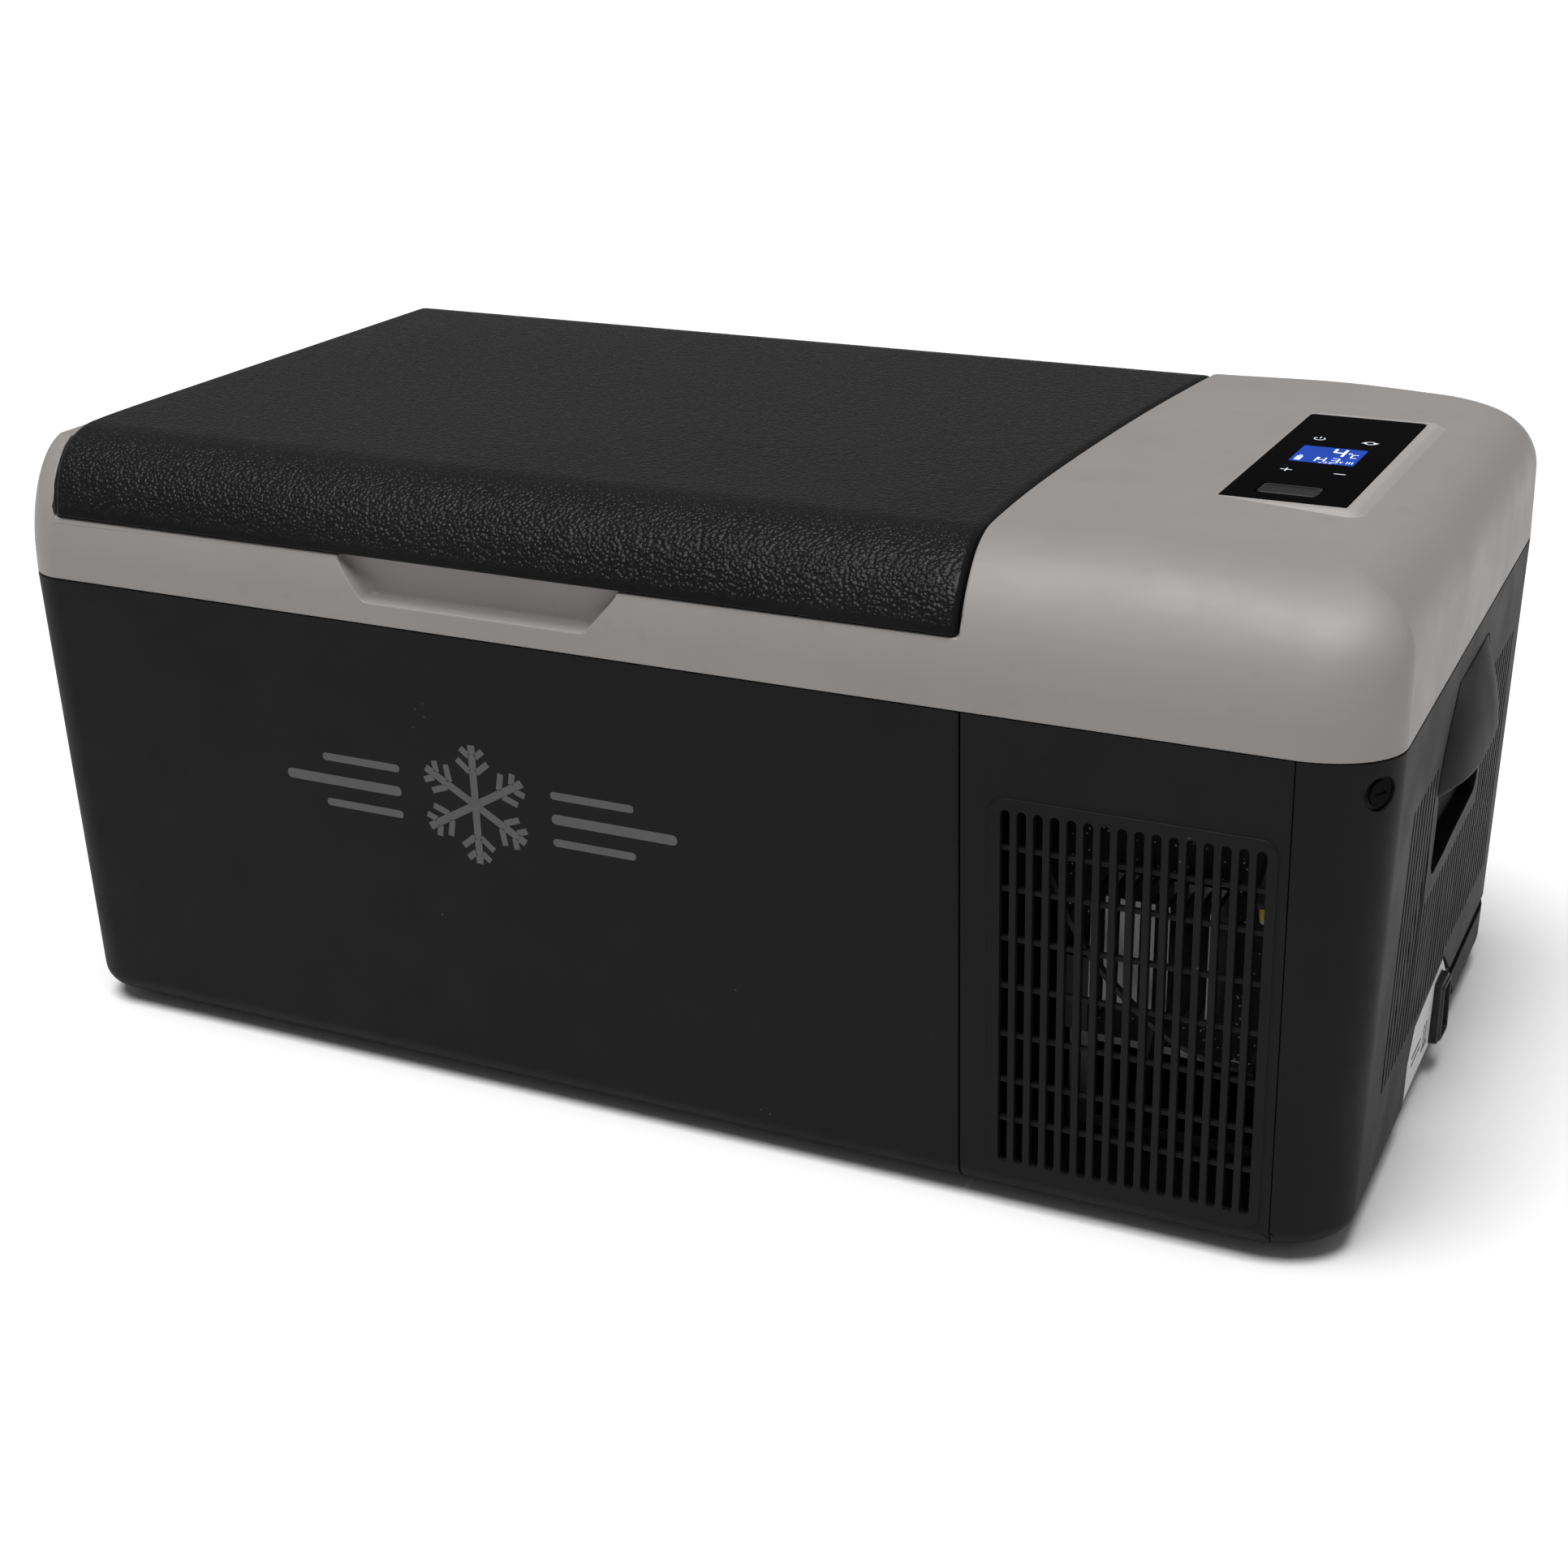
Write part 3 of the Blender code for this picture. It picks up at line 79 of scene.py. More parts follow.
# ---------------------------------------------------------------- shape of the casing
COVER_Z, CHEEK_Z, LEDGE_Z = 248.5, 246.0, 220.2
CROWN_X0, CROWN_STEP_X, CROWN_X1, CROWN_FALL, CROWN_STEP, CROWN_BASE_Z = 120.0, 130.0, 188.0, 70.0, 1.1, 228.0
SIDE_TAPER, FACE_TAPER, FRAME_TAPER = 0.027, 0.030, 0.010
CORNER_LEFT, CORNER_FRONT_RIGHT, CORNER_REAR_RIGHT, BASE_ROUND = 20.0, 26.0, 38.0, 10.0
END_LEAN, LEAN_X0, LEAN_X1, LEAN_FRONT_Y, LEAN_REAR_Y = 8.0, 247.0, 277.5, -135.0, 123.0
ROUND_FRONT, ROUND_REAR, ROUND_LEFT, ROUND_RIGHT = 45.0, 25.0, 5.0, 24.0
CORNER_LEFT_LEAST, CORNER_RIGHT_LEAST, CORNER_SHRINK, CORNER_STEPS = 1.5, 8.0, 0.6, 18
HOUSING_WALL, FRAME_WALL, PANEL_WALL = 2.6, 2.8, 2.5
TUB_WALL, TUB_FLANGE, TUB_FILLET = 2.0, 8.0, 9.0
TUB_RIM = TUB_WALL + TUB_FLANGE
PARTITION_WALL = 2.8
FAR, UNDER, INSIDE_X = 300.0, 10.0, 240.0

LID_Z, LID_BASE_Z, LID_FRONT_Y, LID_REAR_Y, LID_WALL = 249.5, 220.8, -161.3, 157.0, 3.0
LID_WAIST_Y, LID_RIGHT_WAIST, LID_FLARE_FRONT, LID_FLARE_REAR = -44.0, 126.0, 0.00064, 0.00026
LID_LEFT_WAIST, LID_LEFT_TURN, LID_LEFT_POWER = -271.0, 16.7, 5
LID_SLOT, LID_EDGE_R, LID_CORNER = 1.0, 3.0, 13.0
LID_FRONT_STEPS, LID_TOP_STEPS, LID_REAR_STEPS, LID_COLUMNS = 26, 30, 16, 36
LINING_FRONT, LINING_REAR_Y, LINING_Z, PLUG_INSET, PLUG_CORNER = 11.8, 151.0, 229.0, 15.0, 12.0
SEAL_WIDTH, SEAL_CORNER, GROOVE_OUT = 9.0, 22.0, 18.0
HINGE_Y, HINGE_Z = (PIN_LOW.y + PIN_HIGH.y) / 2, (PIN_LOW.z + PIN_HIGH.z) / 2
HINGE_XS = [(low.x + high.x) / 2 for low, high in map(cad_box, ("hinge_pin_left", "hinge_pin_right"))]
BARREL_R, BARREL_ROOM, PIN_R, LUG_WIDTH, KNUCKLE_WIDTH, BORE_LENGTH = 3.8, 0.6, 1.6, 8.0, 16.0, 60.0
LUG_OFFSET = (KNUCKLE_WIDTH + LUG_WIDTH) / 2 + GAP

RECESS_TOP, RECESS_BASE, RECESS_Z, RECESS_OPEN_Z = (-124.0, 6.0), (-107.5, -11.0), 204.0, 223.0
RECESS_Y, RECESS_CORNER, FACE_Y = -152.5, 4.5, -162.0
SLOT_COUNT, SLOT_X0, SLOT_X1, SLOT_Z0, SLOT_Z1, SLOT_WIDTH = 16, 154.4, 245.4, 19.8, 161.2, 3.4
RIB_ZS = (37.2, 53.3, 72.1, 91.8, 110.8, 130.3, 146.1)
BORDER_LOW, BORDER_HIGH = (148.0, 15.0), (251.0, 165.4)
SLIT_COUNT, SLIT_Y0, SLIT_Y1, SLIT_Z0, SLIT_Z1, SLIT_WIDTH = 35, -103.0, 108.0, 49.0, 160.0, 2.4
HOOD_TOP, HOOD_LIP, HOOD_OUT, HOOD_HALF, HOOD_TOP_HALF = 184.0, 146.0, 9.35, 54.0, 30.0
HOOD_COLUMNS, HOOD_LIP_ROUND, HOOD_WALL = 22, 3.0, 3.2
POCKET_HALF, POCKET_Z0, POCKET_Z1, POCKET_DEEP, POCKET_WALL = 50.0, 112.0, 172.0, 8.0, 2.5
POCKET_CORNER, POCKET_SLOPE, POCKET_RISE, POCKET_MOUTH = 8.0, 11.0, 13.0, 3.5
SCREW_Z, SCREW_ANGLE, SCREW_RECESS_R, SCREW_RECESS_DEPTH = 183.0, 31.0, 6.2, 1.8
NOTCH = [(-45, -1), (-45, 32), (-37, 44), (21, 49), (42, 33.5), (180, 33.5), (180, -1)]
SCREEN, SIGN_DEPTH = (204.6, 229.3, 3.2, 27.6), 0.12
POWER_SIGN, CHANGE_SIGN, PLUS_SIGN, MINUS_SIGN = (207.3, 39.8), (227.2, 39.6), (207.4, -10.1), (227.5, -9.8)
PRINT_X, PRINT_Z, PRINT_ARM = -63.5, 126.5, 25.0
TRAY_HALF = 139.7
TRAY_PLATE = [(-44.7, -1), (-44.7, 31.8), (-36.7, 43.5), (20.8, 48.4), (41.8, 32.9), (TRAY_HALF, 32.9),
              (TRAY_HALF, -1)]
TRAY_UPSTAND = [(70, 5.5), (44.5, 28.5), (TRAY_HALF, 28.5), (TRAY_HALF, 5.5)]
LABEL = [(-44, 8), (-44, 31.8), (-36.4, 43.2), (20.8, 48), (62, 11)]
LINE_HOLE = (120, 62, 170, 9.0)
RIB_SECTION = [(-0.9, -0.8), (-0.9, 0.2), (-1.3, 0.75), (-3.2, 0.9), (-3.4, 0.5), (-3.4, -0.8)]


# ---------------------------------------------------------------- meshes
def finish_mesh(bm, name):
    """Turn a bmesh drawn in millimetres into a mesh in metres with its faces pointing out."""
    bmesh.ops.recalc_face_normals(bm, faces=bm.faces)
    bmesh.ops.scale(bm, vec=(MM, MM, MM), verts=bm.verts)
    mesh = bpy.data.meshes.new(name)
    bm.to_mesh(mesh)
    bm.free()
    return mesh


def place(name, mesh):
    item = bpy.data.objects.new(name, mesh)
    bpy.context.scene.collection.objects.link(item)
    return item


def box(name, low, high):
    bm = bmesh.new()
    made = bmesh.ops.create_cube(bm, size=1.0)["verts"]
    bmesh.ops.scale(bm, vec=[b - a for a, b in zip(low, high)], verts=made)
    bmesh.ops.translate(bm, vec=[(a + b) / 2 for a, b in zip(low, high)], verts=made)
    return place(name, finish_mesh(bm, name))


TURN = {"X": Matrix.Rotation(math.pi / 2, 3, "Y"), "Z": Matrix.Identity(3)}
PUT = {"X": lambda a, b, h: (h, a, b), "Y": lambda a, b, h: (a, h, b), "Z": lambda a, b, h: (a, b, h)}


def cylinder(name, centre, axis, radius, length, steps=40):
    bm = bmesh.new()
    bmesh.ops.create_cone(bm, cap_ends=True, segments=steps, radius1=radius, radius2=radius, depth=length)
    bmesh.ops.rotate(bm, cent=(0, 0, 0), matrix=TURN[axis], verts=bm.verts)
    bmesh.ops.translate(bm, vec=centre, verts=bm.verts)
    return place(name, finish_mesh(bm, name))


TIP_R = 0.01


def turned(name, profile, centre, axis="Z", steps=40):
    """A solid of revolution: (radius, height) pairs from one end of the axis to the other."""
    rings = []
    for radius, height in profile:
        ring_points = []
        for k in range(steps):
            angle = 2 * math.pi * k / steps
            spoke = max(radius, TIP_R)
            point = Vector((spoke * math.cos(angle), spoke * math.sin(angle), height))
            ring_points.append(TURN[axis] @ point + Vector(centre))
        rings.append(ring_points)
    return loft(name, rings)


def prism(name, outlines, axis, low, high, far_outlines=None):
    """Extrude flat outlines along an axis, or blend them into a second set of outlines."""
    put = PUT[axis]
    bm = bmesh.new()
    for near, far in zip(outlines, far_outlines or outlines):
        rows = [[bm.verts.new(put(a, b, h)) for a, b in line] for line, h in ((near, low), (far, high))]
        skin(bm, rows)
    return place(name, finish_mesh(bm, name))


def skin(bm, rows, capped=True):
    """Join closed rows of vertices with faces, and close the first and last row."""
    for lower, upper in zip(rows, rows[1:]):
        for i in range(len(lower)):
            j = (i + 1) % len(lower)
            bm.faces.new((lower[i], lower[j], upper[j], upper[i]))
    if capped:
        bm.faces.new(list(reversed(rows[0])))
        bm.faces.new(rows[-1])


def loft(name, rings):
    """A closed solid through rings of points."""
    bm = bmesh.new()
    skin(bm, [[bm.verts.new(point) for point in points] for points in rings])
    return place(name, finish_mesh(bm, name))


def combine(target, tool, operation):
    step = target.modifiers.new(operation, "BOOLEAN")
    step.operation = operation
    step.solver = "EXACT"
    step.object = tool
    tool.hide_render = True
    return target


def cut(target, *tools):
    for tool in tools:
        combine(target, tool, "DIFFERENCE")
    return target


def keep(target, tool):
    return combine(target, tool, "INTERSECT")


def join(target, *tools):
    for tool in tools:
        combine(target, tool, "UNION")
    return target


def bake(item):
    """Apply a piece's modifiers and remove the tools that cut it."""
    tools = {step.object for step in item.modifiers if step.type == "BOOLEAN"}
    chained = {step.object for tool in tools for step in tool.modifiers if step.type == "BOOLEAN"}
    bpy.context.view_layer.update()
    graph = bpy.context.evaluated_depsgraph_get()
    mesh = bpy.data.meshes.new_from_object(item.evaluated_get(graph))
    item.modifiers.clear()
    item.data = mesh
    for tool in tools | chained:
        bpy.data.objects.remove(tool)
    return item


SHARP_ANGLE = 50


def soften(item, width, steps=2, angle=38, weld=0.02):
    """Round a piece's sharp edges by a small radius and shade it so that flats stay flat."""
    bake(item)
    bm = bmesh.new()
    bm.from_mesh(item.data)
    bmesh.ops.remove_doubles(bm, verts=bm.verts, dist=weld * MM)
    bmesh.ops.dissolve_degenerate(bm, dist=weld * MM, edges=bm.edges)
    bm.to_mesh(item.data)
    bm.free()
    if width:
        edge = item.modifiers.new("edge", "BEVEL")
        edge.width = width * MM
        edge.segments = steps
        edge.limit_method = "ANGLE"
        edge.angle_limit = math.radians(angle)
        edge.use_clamp_overlap = False
        edge.miter_outer = "MITER_ARC"
        edge.harden_normals = False
        bake(item)
    item.data.shade_smooth()
    item.data.set_sharp_from_angle(angle=math.radians(SHARP_ANGLE))
    flats = item.modifiers.new("flats", "WEIGHTED_NORMAL")
    flats.keep_sharp = True
    return bake(item)


def show(item, body, finish, *nodes, slot=None):
    """Give a piece its finish and its body, and let it stand for the CAD nodes that it replaces."""
    item.data.materials.clear()
    item.data.materials.append(finish)
    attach(item, body)
    if nodes:
        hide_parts(*nodes)
    return item


# ---------------------------------------------------------------- outlines
def ring(z, x0, x1, y0, y1, left, right, steps=CORNER_STEPS):
    """A rounded rectangle; left and right hold the corner's (x, y) radii for the front and the rear."""
    corners = [(x0, y0, left[0], 1, 1, 180), (x1, y0, right[0], -1, 1, 270),
               (x1, y1, right[1], -1, -1, 0), (x0, y1, left[1], 1, -1, 90)]
    points = []
    for x, y, (rx, ry), sx, sy, start in corners:
        for k in range(steps + 1):
            angle = math.radians(start + 90 * k / steps)
            points.append((x + sx * rx + rx * math.cos(angle), y + sy * ry + ry * math.sin(angle), z))
    return points


def even_ring(z, x0, x1, y0, y1, inset, corner, steps):
    """A rounded rectangle moved in by the inset, with four equal corners."""
    radii = ((corner, corner), (corner, corner))
    return ring(z, x0 + inset, x1 - inset, y0 + inset, y1 - inset, radii, radii, steps)


def lean(x, y):
    """Where a point of the casing's plan comes to once the end wall leans out towards the front."""
    across = min(max((x - LEAN_X0) / (LEAN_X1 - LEAN_X0), 0.0), 1.0)
    along = min(max((LEAN_REAR_Y - y) / (LEAN_REAR_Y - LEAN_FRONT_Y), 0.0), 1.0)
    return x + END_LEAN * across * along


def inset_ring(z, half_x, half_y, front, rear, left, right):
    """A plan ring of the casing whose four sides are moved in by the given amounts."""
    def sharp(dx, dy):
        return max(CORNER_LEFT - dx, CORNER_LEFT_LEAST), CORNER_LEFT * math.exp(-dy / CORNER_LEFT)

    def soft(corner, *insets):
        return tuple(max(corner - CORNER_SHRINK * inset, CORNER_RIGHT_LEAST) for inset in insets)

    points = ring(z, -half_x + left, half_x - right, -half_y + front, half_y - rear,
                  (sharp(left, front), sharp(left, rear)),
                  (soft(CORNER_FRONT_RIGHT, right, front), soft(CORNER_REAR_RIGHT, right, rear)))
    return [(lean(x, y), y, z) for x, y, z in points]


def housing_size(z):
    drop = PARTING_Z - z
    return HALF_LENGTH - SIDE_TAPER * drop, HALF_DEPTH - FACE_TAPER * drop


def housing_x(z):
    return housing_size(z)[0]


def housing_y(z):
    return housing_size(z)[1]


def housing_rings(offset, top, steps=8):
    """Rings of the black housing, moved in by the offset, from its rounded base to the top."""
    rounding = BASE_ROUND - offset
    rings = []
    for k in range(steps + 1):
        angle = math.radians(90 * k / steps)
        z = FLOOR_Z + offset + rounding * (1 - math.cos(angle))
        inset = offset + rounding * (1 - math.sin(angle))
        rings.append(inset_ring(z, *housing_size(z), inset, inset, inset, inset))
    rings.append(inset_ring(top, *housing_size(top), offset, offset, offset, offset))
    return rings


def round_in(z, top, radius):
    """How far a rounded top edge has moved in at a height."""
    rise = z - (top - radius)
    return 0.0 if rise <= 0 else radius - math.sqrt(max(radius ** 2 - rise ** 2, 0.0))


def frame_ring(z, offset, top):
    half_x = HALF_LENGTH - FRAME_TAPER * (z - PARTING_Z)
    half_y = HALF_DEPTH - FRAME_TAPER * (z - PARTING_Z)
    rounds = ROUND_FRONT, ROUND_REAR, ROUND_LEFT, ROUND_RIGHT
    insets = [offset + round_in(z, top, radius - offset) for radius in rounds]
    return inset_ring(z, half_x, half_y, *insets)


def frame_rings(offset, base, top, flat_top=None, pitch=3):
    """Rings of the grey frame's outside, moved in by the offset, up to its crown or a flat top."""
    radius = ROUND_FRONT - offset
    heights = [base] + [top - radius + radius * math.sin(math.radians(a)) for a in range(pitch, 91, pitch)]
    if flat_top is not None:
        heights = [z for z in heights if z < flat_top - 1] + [flat_top]
    return [frame_ring(z, offset, top) for z in heights]


def lid_right(y):
    """The lid's right edge: narrowest at the waist, it flares to the front and the rear."""
    flare = LID_FLARE_REAR if y > LID_WAIST_Y else LID_FLARE_FRONT
    return LID_RIGHT_WAIST + flare * (y - LID_WAIST_Y) ** 2


def lid_left(y):
    """The lid's left edge: straight behind the waist, it turns in towards the front."""
    turn = max((LID_WAIST_Y - y) / (LID_WAIST_Y - LID_FRONT_Y), 0.0)
    return LID_LEFT_WAIST + LID_LEFT_TURN * turn ** LID_LEFT_POWER


def rear_corner(y):
    """How far the lid's left edge has turned in towards its rounded rear corner."""
    past = min(max(y - (LID_REAR_Y - LID_CORNER), 0.0), LID_CORNER)
    return LID_CORNER - math.sqrt(LID_CORNER ** 2 - past ** 2)


def lid_plan(offset, front, rear, steps):
    ys = [front + (rear - front) * k / steps for k in range(steps + 1)]
    return [(lid_right(y) - offset, y) for y in ys] + [(lid_left(y) + offset, y) for y in reversed(ys)]


def rounded_outline(a0, a1, b0, b1, corner, steps=8):
    """A flat rounded rectangle."""
    points = []
    for a, b, start in ((a1 - corner, b1 - corner, 0), (a0 + corner, b1 - corner, 90),
                        (a0 + corner, b0 + corner, 180), (a1 - corner, b0 + corner, 270)):
        for k in range(steps + 1):
            angle = math.radians(start + 90 * k / steps)
            points.append((a + corner * math.cos(angle), b + corner * math.sin(angle)))
    return points


def round_corners(points, radius, steps=5):
    """Replace an outline's corners with arcs."""
    result = []
    for before, here, after in zip(points[-1:] + points[:-1], points, points[1:] + points[:1]):
        here, to_before, to_after = Vector(here), Vector(before) - Vector(here), Vector(after) - Vector(here)
        half = to_before.angle(to_after) / 2
        reach = min(radius / math.tan(half), to_before.length * 0.49, to_after.length * 0.49)
        start, end = here + to_before.normalized() * reach, here + to_after.normalized() * reach
        for k in range(steps + 1):
            t = k / steps
            result.append(tuple((1 - t) ** 2 * start + 2 * t * (1 - t) * here + t * t * end))
    return result


def slot_outline(x, z0, z1, width, steps=8):
    """An upright slot with round ends."""
    radius = width / 2
    outline = []
    for centre, start in ((z1 - radius, 0), (z0 + radius, 180)):
        for k in range(steps + 1):
            angle = math.radians(start + 180 * k / steps)
            outline.append((x + radius * math.cos(angle), centre + radius * math.sin(angle)))
    return outline


# ---------------------------------------------------------------- finishes
MIX_A, MIX_B, MIX_COLOUR = 6, 7, 2


class Finish:
    """A Principled material whose colour, roughness and relief come from procedural patterns."""

    def __init__(self, name, colour, roughness, metallic=0.0, specular=0.5, **sockets):
        self.material = bpy.data.materials.new(name)
        self.material.use_nodes = True
        self.tree = self.material.node_tree
        self.shader = self.tree.nodes["Principled BSDF"]
        self.colour = colour
        self.set(self.shader, "Base Color", (*colour, 1.0))
        self.set(self.shader, "Roughness", roughness)
        self.set(self.shader, "Metallic", metallic)
        self.set(self.shader, "Specular IOR Level", specular)
        for socket, value in sockets.items():
            self.set(self.shader, socket.replace("_", " "), value)
        self.place = self.add("ShaderNodeTexCoord").outputs["Object"]
        self.height = None

    @staticmethod
    def set(node, socket, value):
        node.inputs[socket].default_value = value

    def add(self, kind, links=(), **settings):
        node = self.tree.nodes.new(kind)
        for key, value in settings.items():
            setattr(node, key, value)
        for socket, source in dict(links).items():
            if isinstance(source, bpy.types.NodeSocket):
                self.tree.links.new(source, node.inputs[socket])
            else:
                self.set(node, socket, source)
        return node

    def stretched(self, scale):
        return self.add("ShaderNodeMapping", {"Vector": self.place, "Scale": scale}).outputs["Vector"]

    def noise(self, scale, detail=3.0, vector=None):
        links = {"Vector": vector or self.place, "Scale": scale, "Detail": detail}
        return self.add("ShaderNodeTexNoise", links).outputs["Fac"]

    def cells(self, scale, feature="F1"):
        links = {"Vector": self.place, "Scale": scale}
        return self.add("ShaderNodeTexVoronoi", links, feature=feature).outputs["Distance"]

    def span(self, pattern, low, high, to_low=0.0, to_high=1.0):
        links = {"Value": pattern, "From Min": low, "From Max": high, "To Min": to_low, "To Max": to_high}
        return self.add("ShaderNodeMapRange", links).outputs["Result"]

    def math(self, operation, a, b):
        return self.add("ShaderNodeMath", {0: a, 1: b}, operation=operation).outputs["Value"]

    def tint(self, pattern, other):
        """Blend the base colour towards another one where the pattern is high."""
        socket = self.shader.inputs["Base Color"]
        here = socket.links[0].from_socket if socket.is_linked else (*self.colour, 1.0)
        links = {"Factor": pattern, MIX_A: here, MIX_B: (*other, 1.0)}
        blend = self.add("ShaderNodeMix", links, data_type="RGBA")
        self.tree.links.new(blend.outputs[MIX_COLOUR], socket)
        return self

    def rough(self, pattern, low, high):
        """Let the roughness follow the middle of the pattern's range."""
        self.tree.links.new(self.span(pattern, 0.3, 0.7, low, high), self.shader.inputs["Roughness"])
        return self

    def relief(self, pattern, depth, strength=1.0):
        links = {"Height": pattern, "Distance": depth * MM, "Strength": strength}
        if self.height is not None:
            links["Normal"] = self.height
        self.height = self.add("ShaderNodeBump", links).outputs["Normal"]
        self.tree.links.new(self.height, self.shader.inputs["Normal"])
        return self


def shade(colour, factor):
    return tuple(channel * factor for channel in colour)


def plastic(name, colour, roughness, texture, depth, specular=0.4, variation=0.12):
    """Moulded plastic: a fine spark texture, slow changes of tone and gloss, and a little dust."""
    finish = Finish(name, colour, roughness, specular=specular)
    finish.tint(finish.span(finish.noise(14.0), 0.35, 0.65), shade(colour, 1 + variation))
    finish.tint(finish.span(finish.noise(90.0, 5.0), 0.62, 0.80), shade(colour, 1 - variation))
    finish.rough(finish.noise(40.0, 4.0), roughness - 0.04, roughness + 0.05)
    finish.relief(finish.noise(texture, 2.0), depth)
    return finish


def dusty(finish, colour):
    """Sparse bright specks of dust and small scratches."""
    near = finish.span(finish.cells(260.0), 0.05, 0.09, 1.0, 0.0)
    rare = finish.span(finish.noise(33.0, 2.0), 0.64, 0.70)
    return finish.tint(finish.math("MULTIPLY", near, rare), colour)


def black_plastic():
    """The casing's matt black with dust and faint upright scuffs."""
    finish = plastic("black_housing", BLACK, 0.56, 1500.0, 0.012, 0.09, 0.10)
    dusty(finish, (0.10, 0.10, 0.10))
    scuffs = finish.noise(60.0, 6.0, finish.stretched((1.0, 1.0, 7.0)))
    finish.tint(finish.span(scuffs, 0.68, 0.84, 0.0, 0.35), shade(BLACK, 2.2))
    return finish.material


def grained_black():
    """The lid's pebbled leather grain, which fades out at the lid's edges."""
    finish = Finish("lid_black", LID_BLACK, 0.30, specular=0.10)
    warp = finish.add("ShaderNodeTexNoise", {"Vector": finish.place, "Scale": 500.0, "Detail": 2.0})
    links = {"Factor": 0.0011, MIX_A: finish.place, MIX_B: warp.outputs["Color"]}
    warped = finish.add("ShaderNodeMix", links, data_type="RGBA", blend_type="ADD").outputs[MIX_COLOUR]
    links = {"Vector": warped, "Scale": 640.0, "Smoothness": 0.35}
    pebbles = finish.add("ShaderNodeTexVoronoi", links, feature="SMOOTH_F1").outputs["Distance"]
    creases = finish.span(pebbles, 0.15, 0.75, 1.0, 0.0)
    mask = finish.add("ShaderNodeAttribute", attribute_name="grain").outputs["Fac"]
    height = finish.math("MULTIPLY", creases, mask)
    finish.tint(finish.span(finish.noise(12.0), 0.35, 0.7), shade(LID_BLACK, 1.25))
    finish.rough(finish.noise(300.0, 3.0), 0.24, 0.34)
    finish.relief(height, 0.36)
    finish.relief(finish.noise(2600.0, 2.0), 0.010)
    return finish.material


def metal(name, colour, roughness, along=(1.0, 1.0, 12.0)):
    """Drawn or brushed metal with streaks across the given stretch, and slight tarnish."""
    finish = Finish(name, colour, roughness, metallic=1.0)
    streaks = finish.noise(900.0, 3.0, finish.stretched(along))
    finish.tint(finish.span(finish.noise(55.0, 4.0), 0.45, 0.75), shade(colour, 0.72))
    finish.rough(streaks, roughness - 0.08, roughness + 0.12)
    finish.relief(streaks, 0.01)
    return finish.material


def foam():
    finish = Finish("foam", (0.80, 0.72, 0.45), 0.9, specular=0.2)
    finish.tint(finish.span(finish.noise(120.0, 5.0), 0.4, 0.7), (0.70, 0.58, 0.30))
    finish.relief(finish.cells(450.0), 0.25)
    return finish.material


def rubber():
    finish = Finish("rubber", (0.020, 0.020, 0.021), 0.72, specular=0.3)
    finish.tint(finish.span(finish.noise(150.0, 5.0), 0.5, 0.8), (0.036, 0.036, 0.036))
    finish.rough(finish.noise(220.0), 0.64, 0.80)
    finish.relief(finish.noise(2200.0), 0.02)
    return finish.material


def glass_black():
    """Gloss panel with faint fingerprints in its gloss."""
    finish = Finish("glass_black", (0.0006, 0.0006, 0.0007), 0.10, IOR=1.03)
    finish.rough(finish.noise(38.0, 6.0), 0.08, 0.17)
    return finish.material


def screen_blue():
    """Backlit display: brighter in the middle, with a fine dot raster."""
    finish = Finish("screen_blue", (0.002, 0.008, 0.05), 0.25, specular=0.02)
    raster = finish.span(finish.cells(3200.0), 0.1, 0.5, 1.0, 0.86)
    glow = finish.span(finish.noise(40.0, 1.0), 0.3, 0.7, 0.90, 1.10)
    finish.set(finish.shader, "Emission Color", (0.012, 0.066, 0.47, 1.0))
    finish.tree.links.new(finish.math("MULTIPLY", raster, glow), finish.shader.inputs["Emission Strength"])
    return finish.material


def lit_sign():
    finish = Finish("sign_white", (0.75, 0.80, 0.85), 0.35)
    finish.set(finish.shader, "Emission Color", (0.75, 0.82, 0.95, 1.0))
    finish.tree.links.new(finish.span(finish.noise(2000.0), 0.3, 0.7, 0.42, 0.58),
                          finish.shader.inputs["Emission Strength"])
    return finish.material


def board_green():
    """Circuit board: solder mask with darker copper pours and rows of small pads."""
    finish = Finish("board_green", (0.0012, 0.0030, 0.0018), 0.45, specular=0.15)
    tracks = finish.cells(160.0, "DISTANCE_TO_EDGE")
    finish.tint(finish.span(tracks, 0.04, 0.07, 1.0, 0.0), (0.0022, 0.0060, 0.0035))
    pads = finish.cells(420.0)
    finish.tint(finish.span(pads, 0.14, 0.18, 1.0, 0.0), (0.45, 0.43, 0.38))
    finish.relief(finish.span(tracks, 0.03, 0.08), 0.05)
    return finish.material


def copper():
    finish = Finish("copper", (0.72, 0.36, 0.20), 0.32, metallic=1.0)
    finish.tint(finish.span(finish.noise(80.0, 5.0), 0.45, 0.7), (0.40, 0.17, 0.09))
    finish.rough(finish.noise(300.0), 0.24, 0.45)
    return finish.material


def lens():
    finish = Finish("lens", (0.82, 0.84, 0.86), 0.25, Transmission_Weight=0.3)
    finish.tint(finish.span(finish.noise(200.0), 0.4, 0.7), (0.72, 0.75, 0.78))
    flutes = finish.add("ShaderNodeTexWave", {"Vector": finish.place, "Scale": 160.0}).outputs["Fac"]
    finish.relief(flutes, 0.08)
    return finish.material


def enamel():
    finish = Finish("compressor_black", (0.018, 0.018, 0.020), 0.32, Coat_Weight=0.4, Coat_Roughness=0.2)
    finish.tint(finish.span(finish.noise(60.0, 4.0), 0.5, 0.8), (0.032, 0.032, 0.034))
    finish.relief(finish.noise(420.0, 3.0), 0.03)
    return finish.material


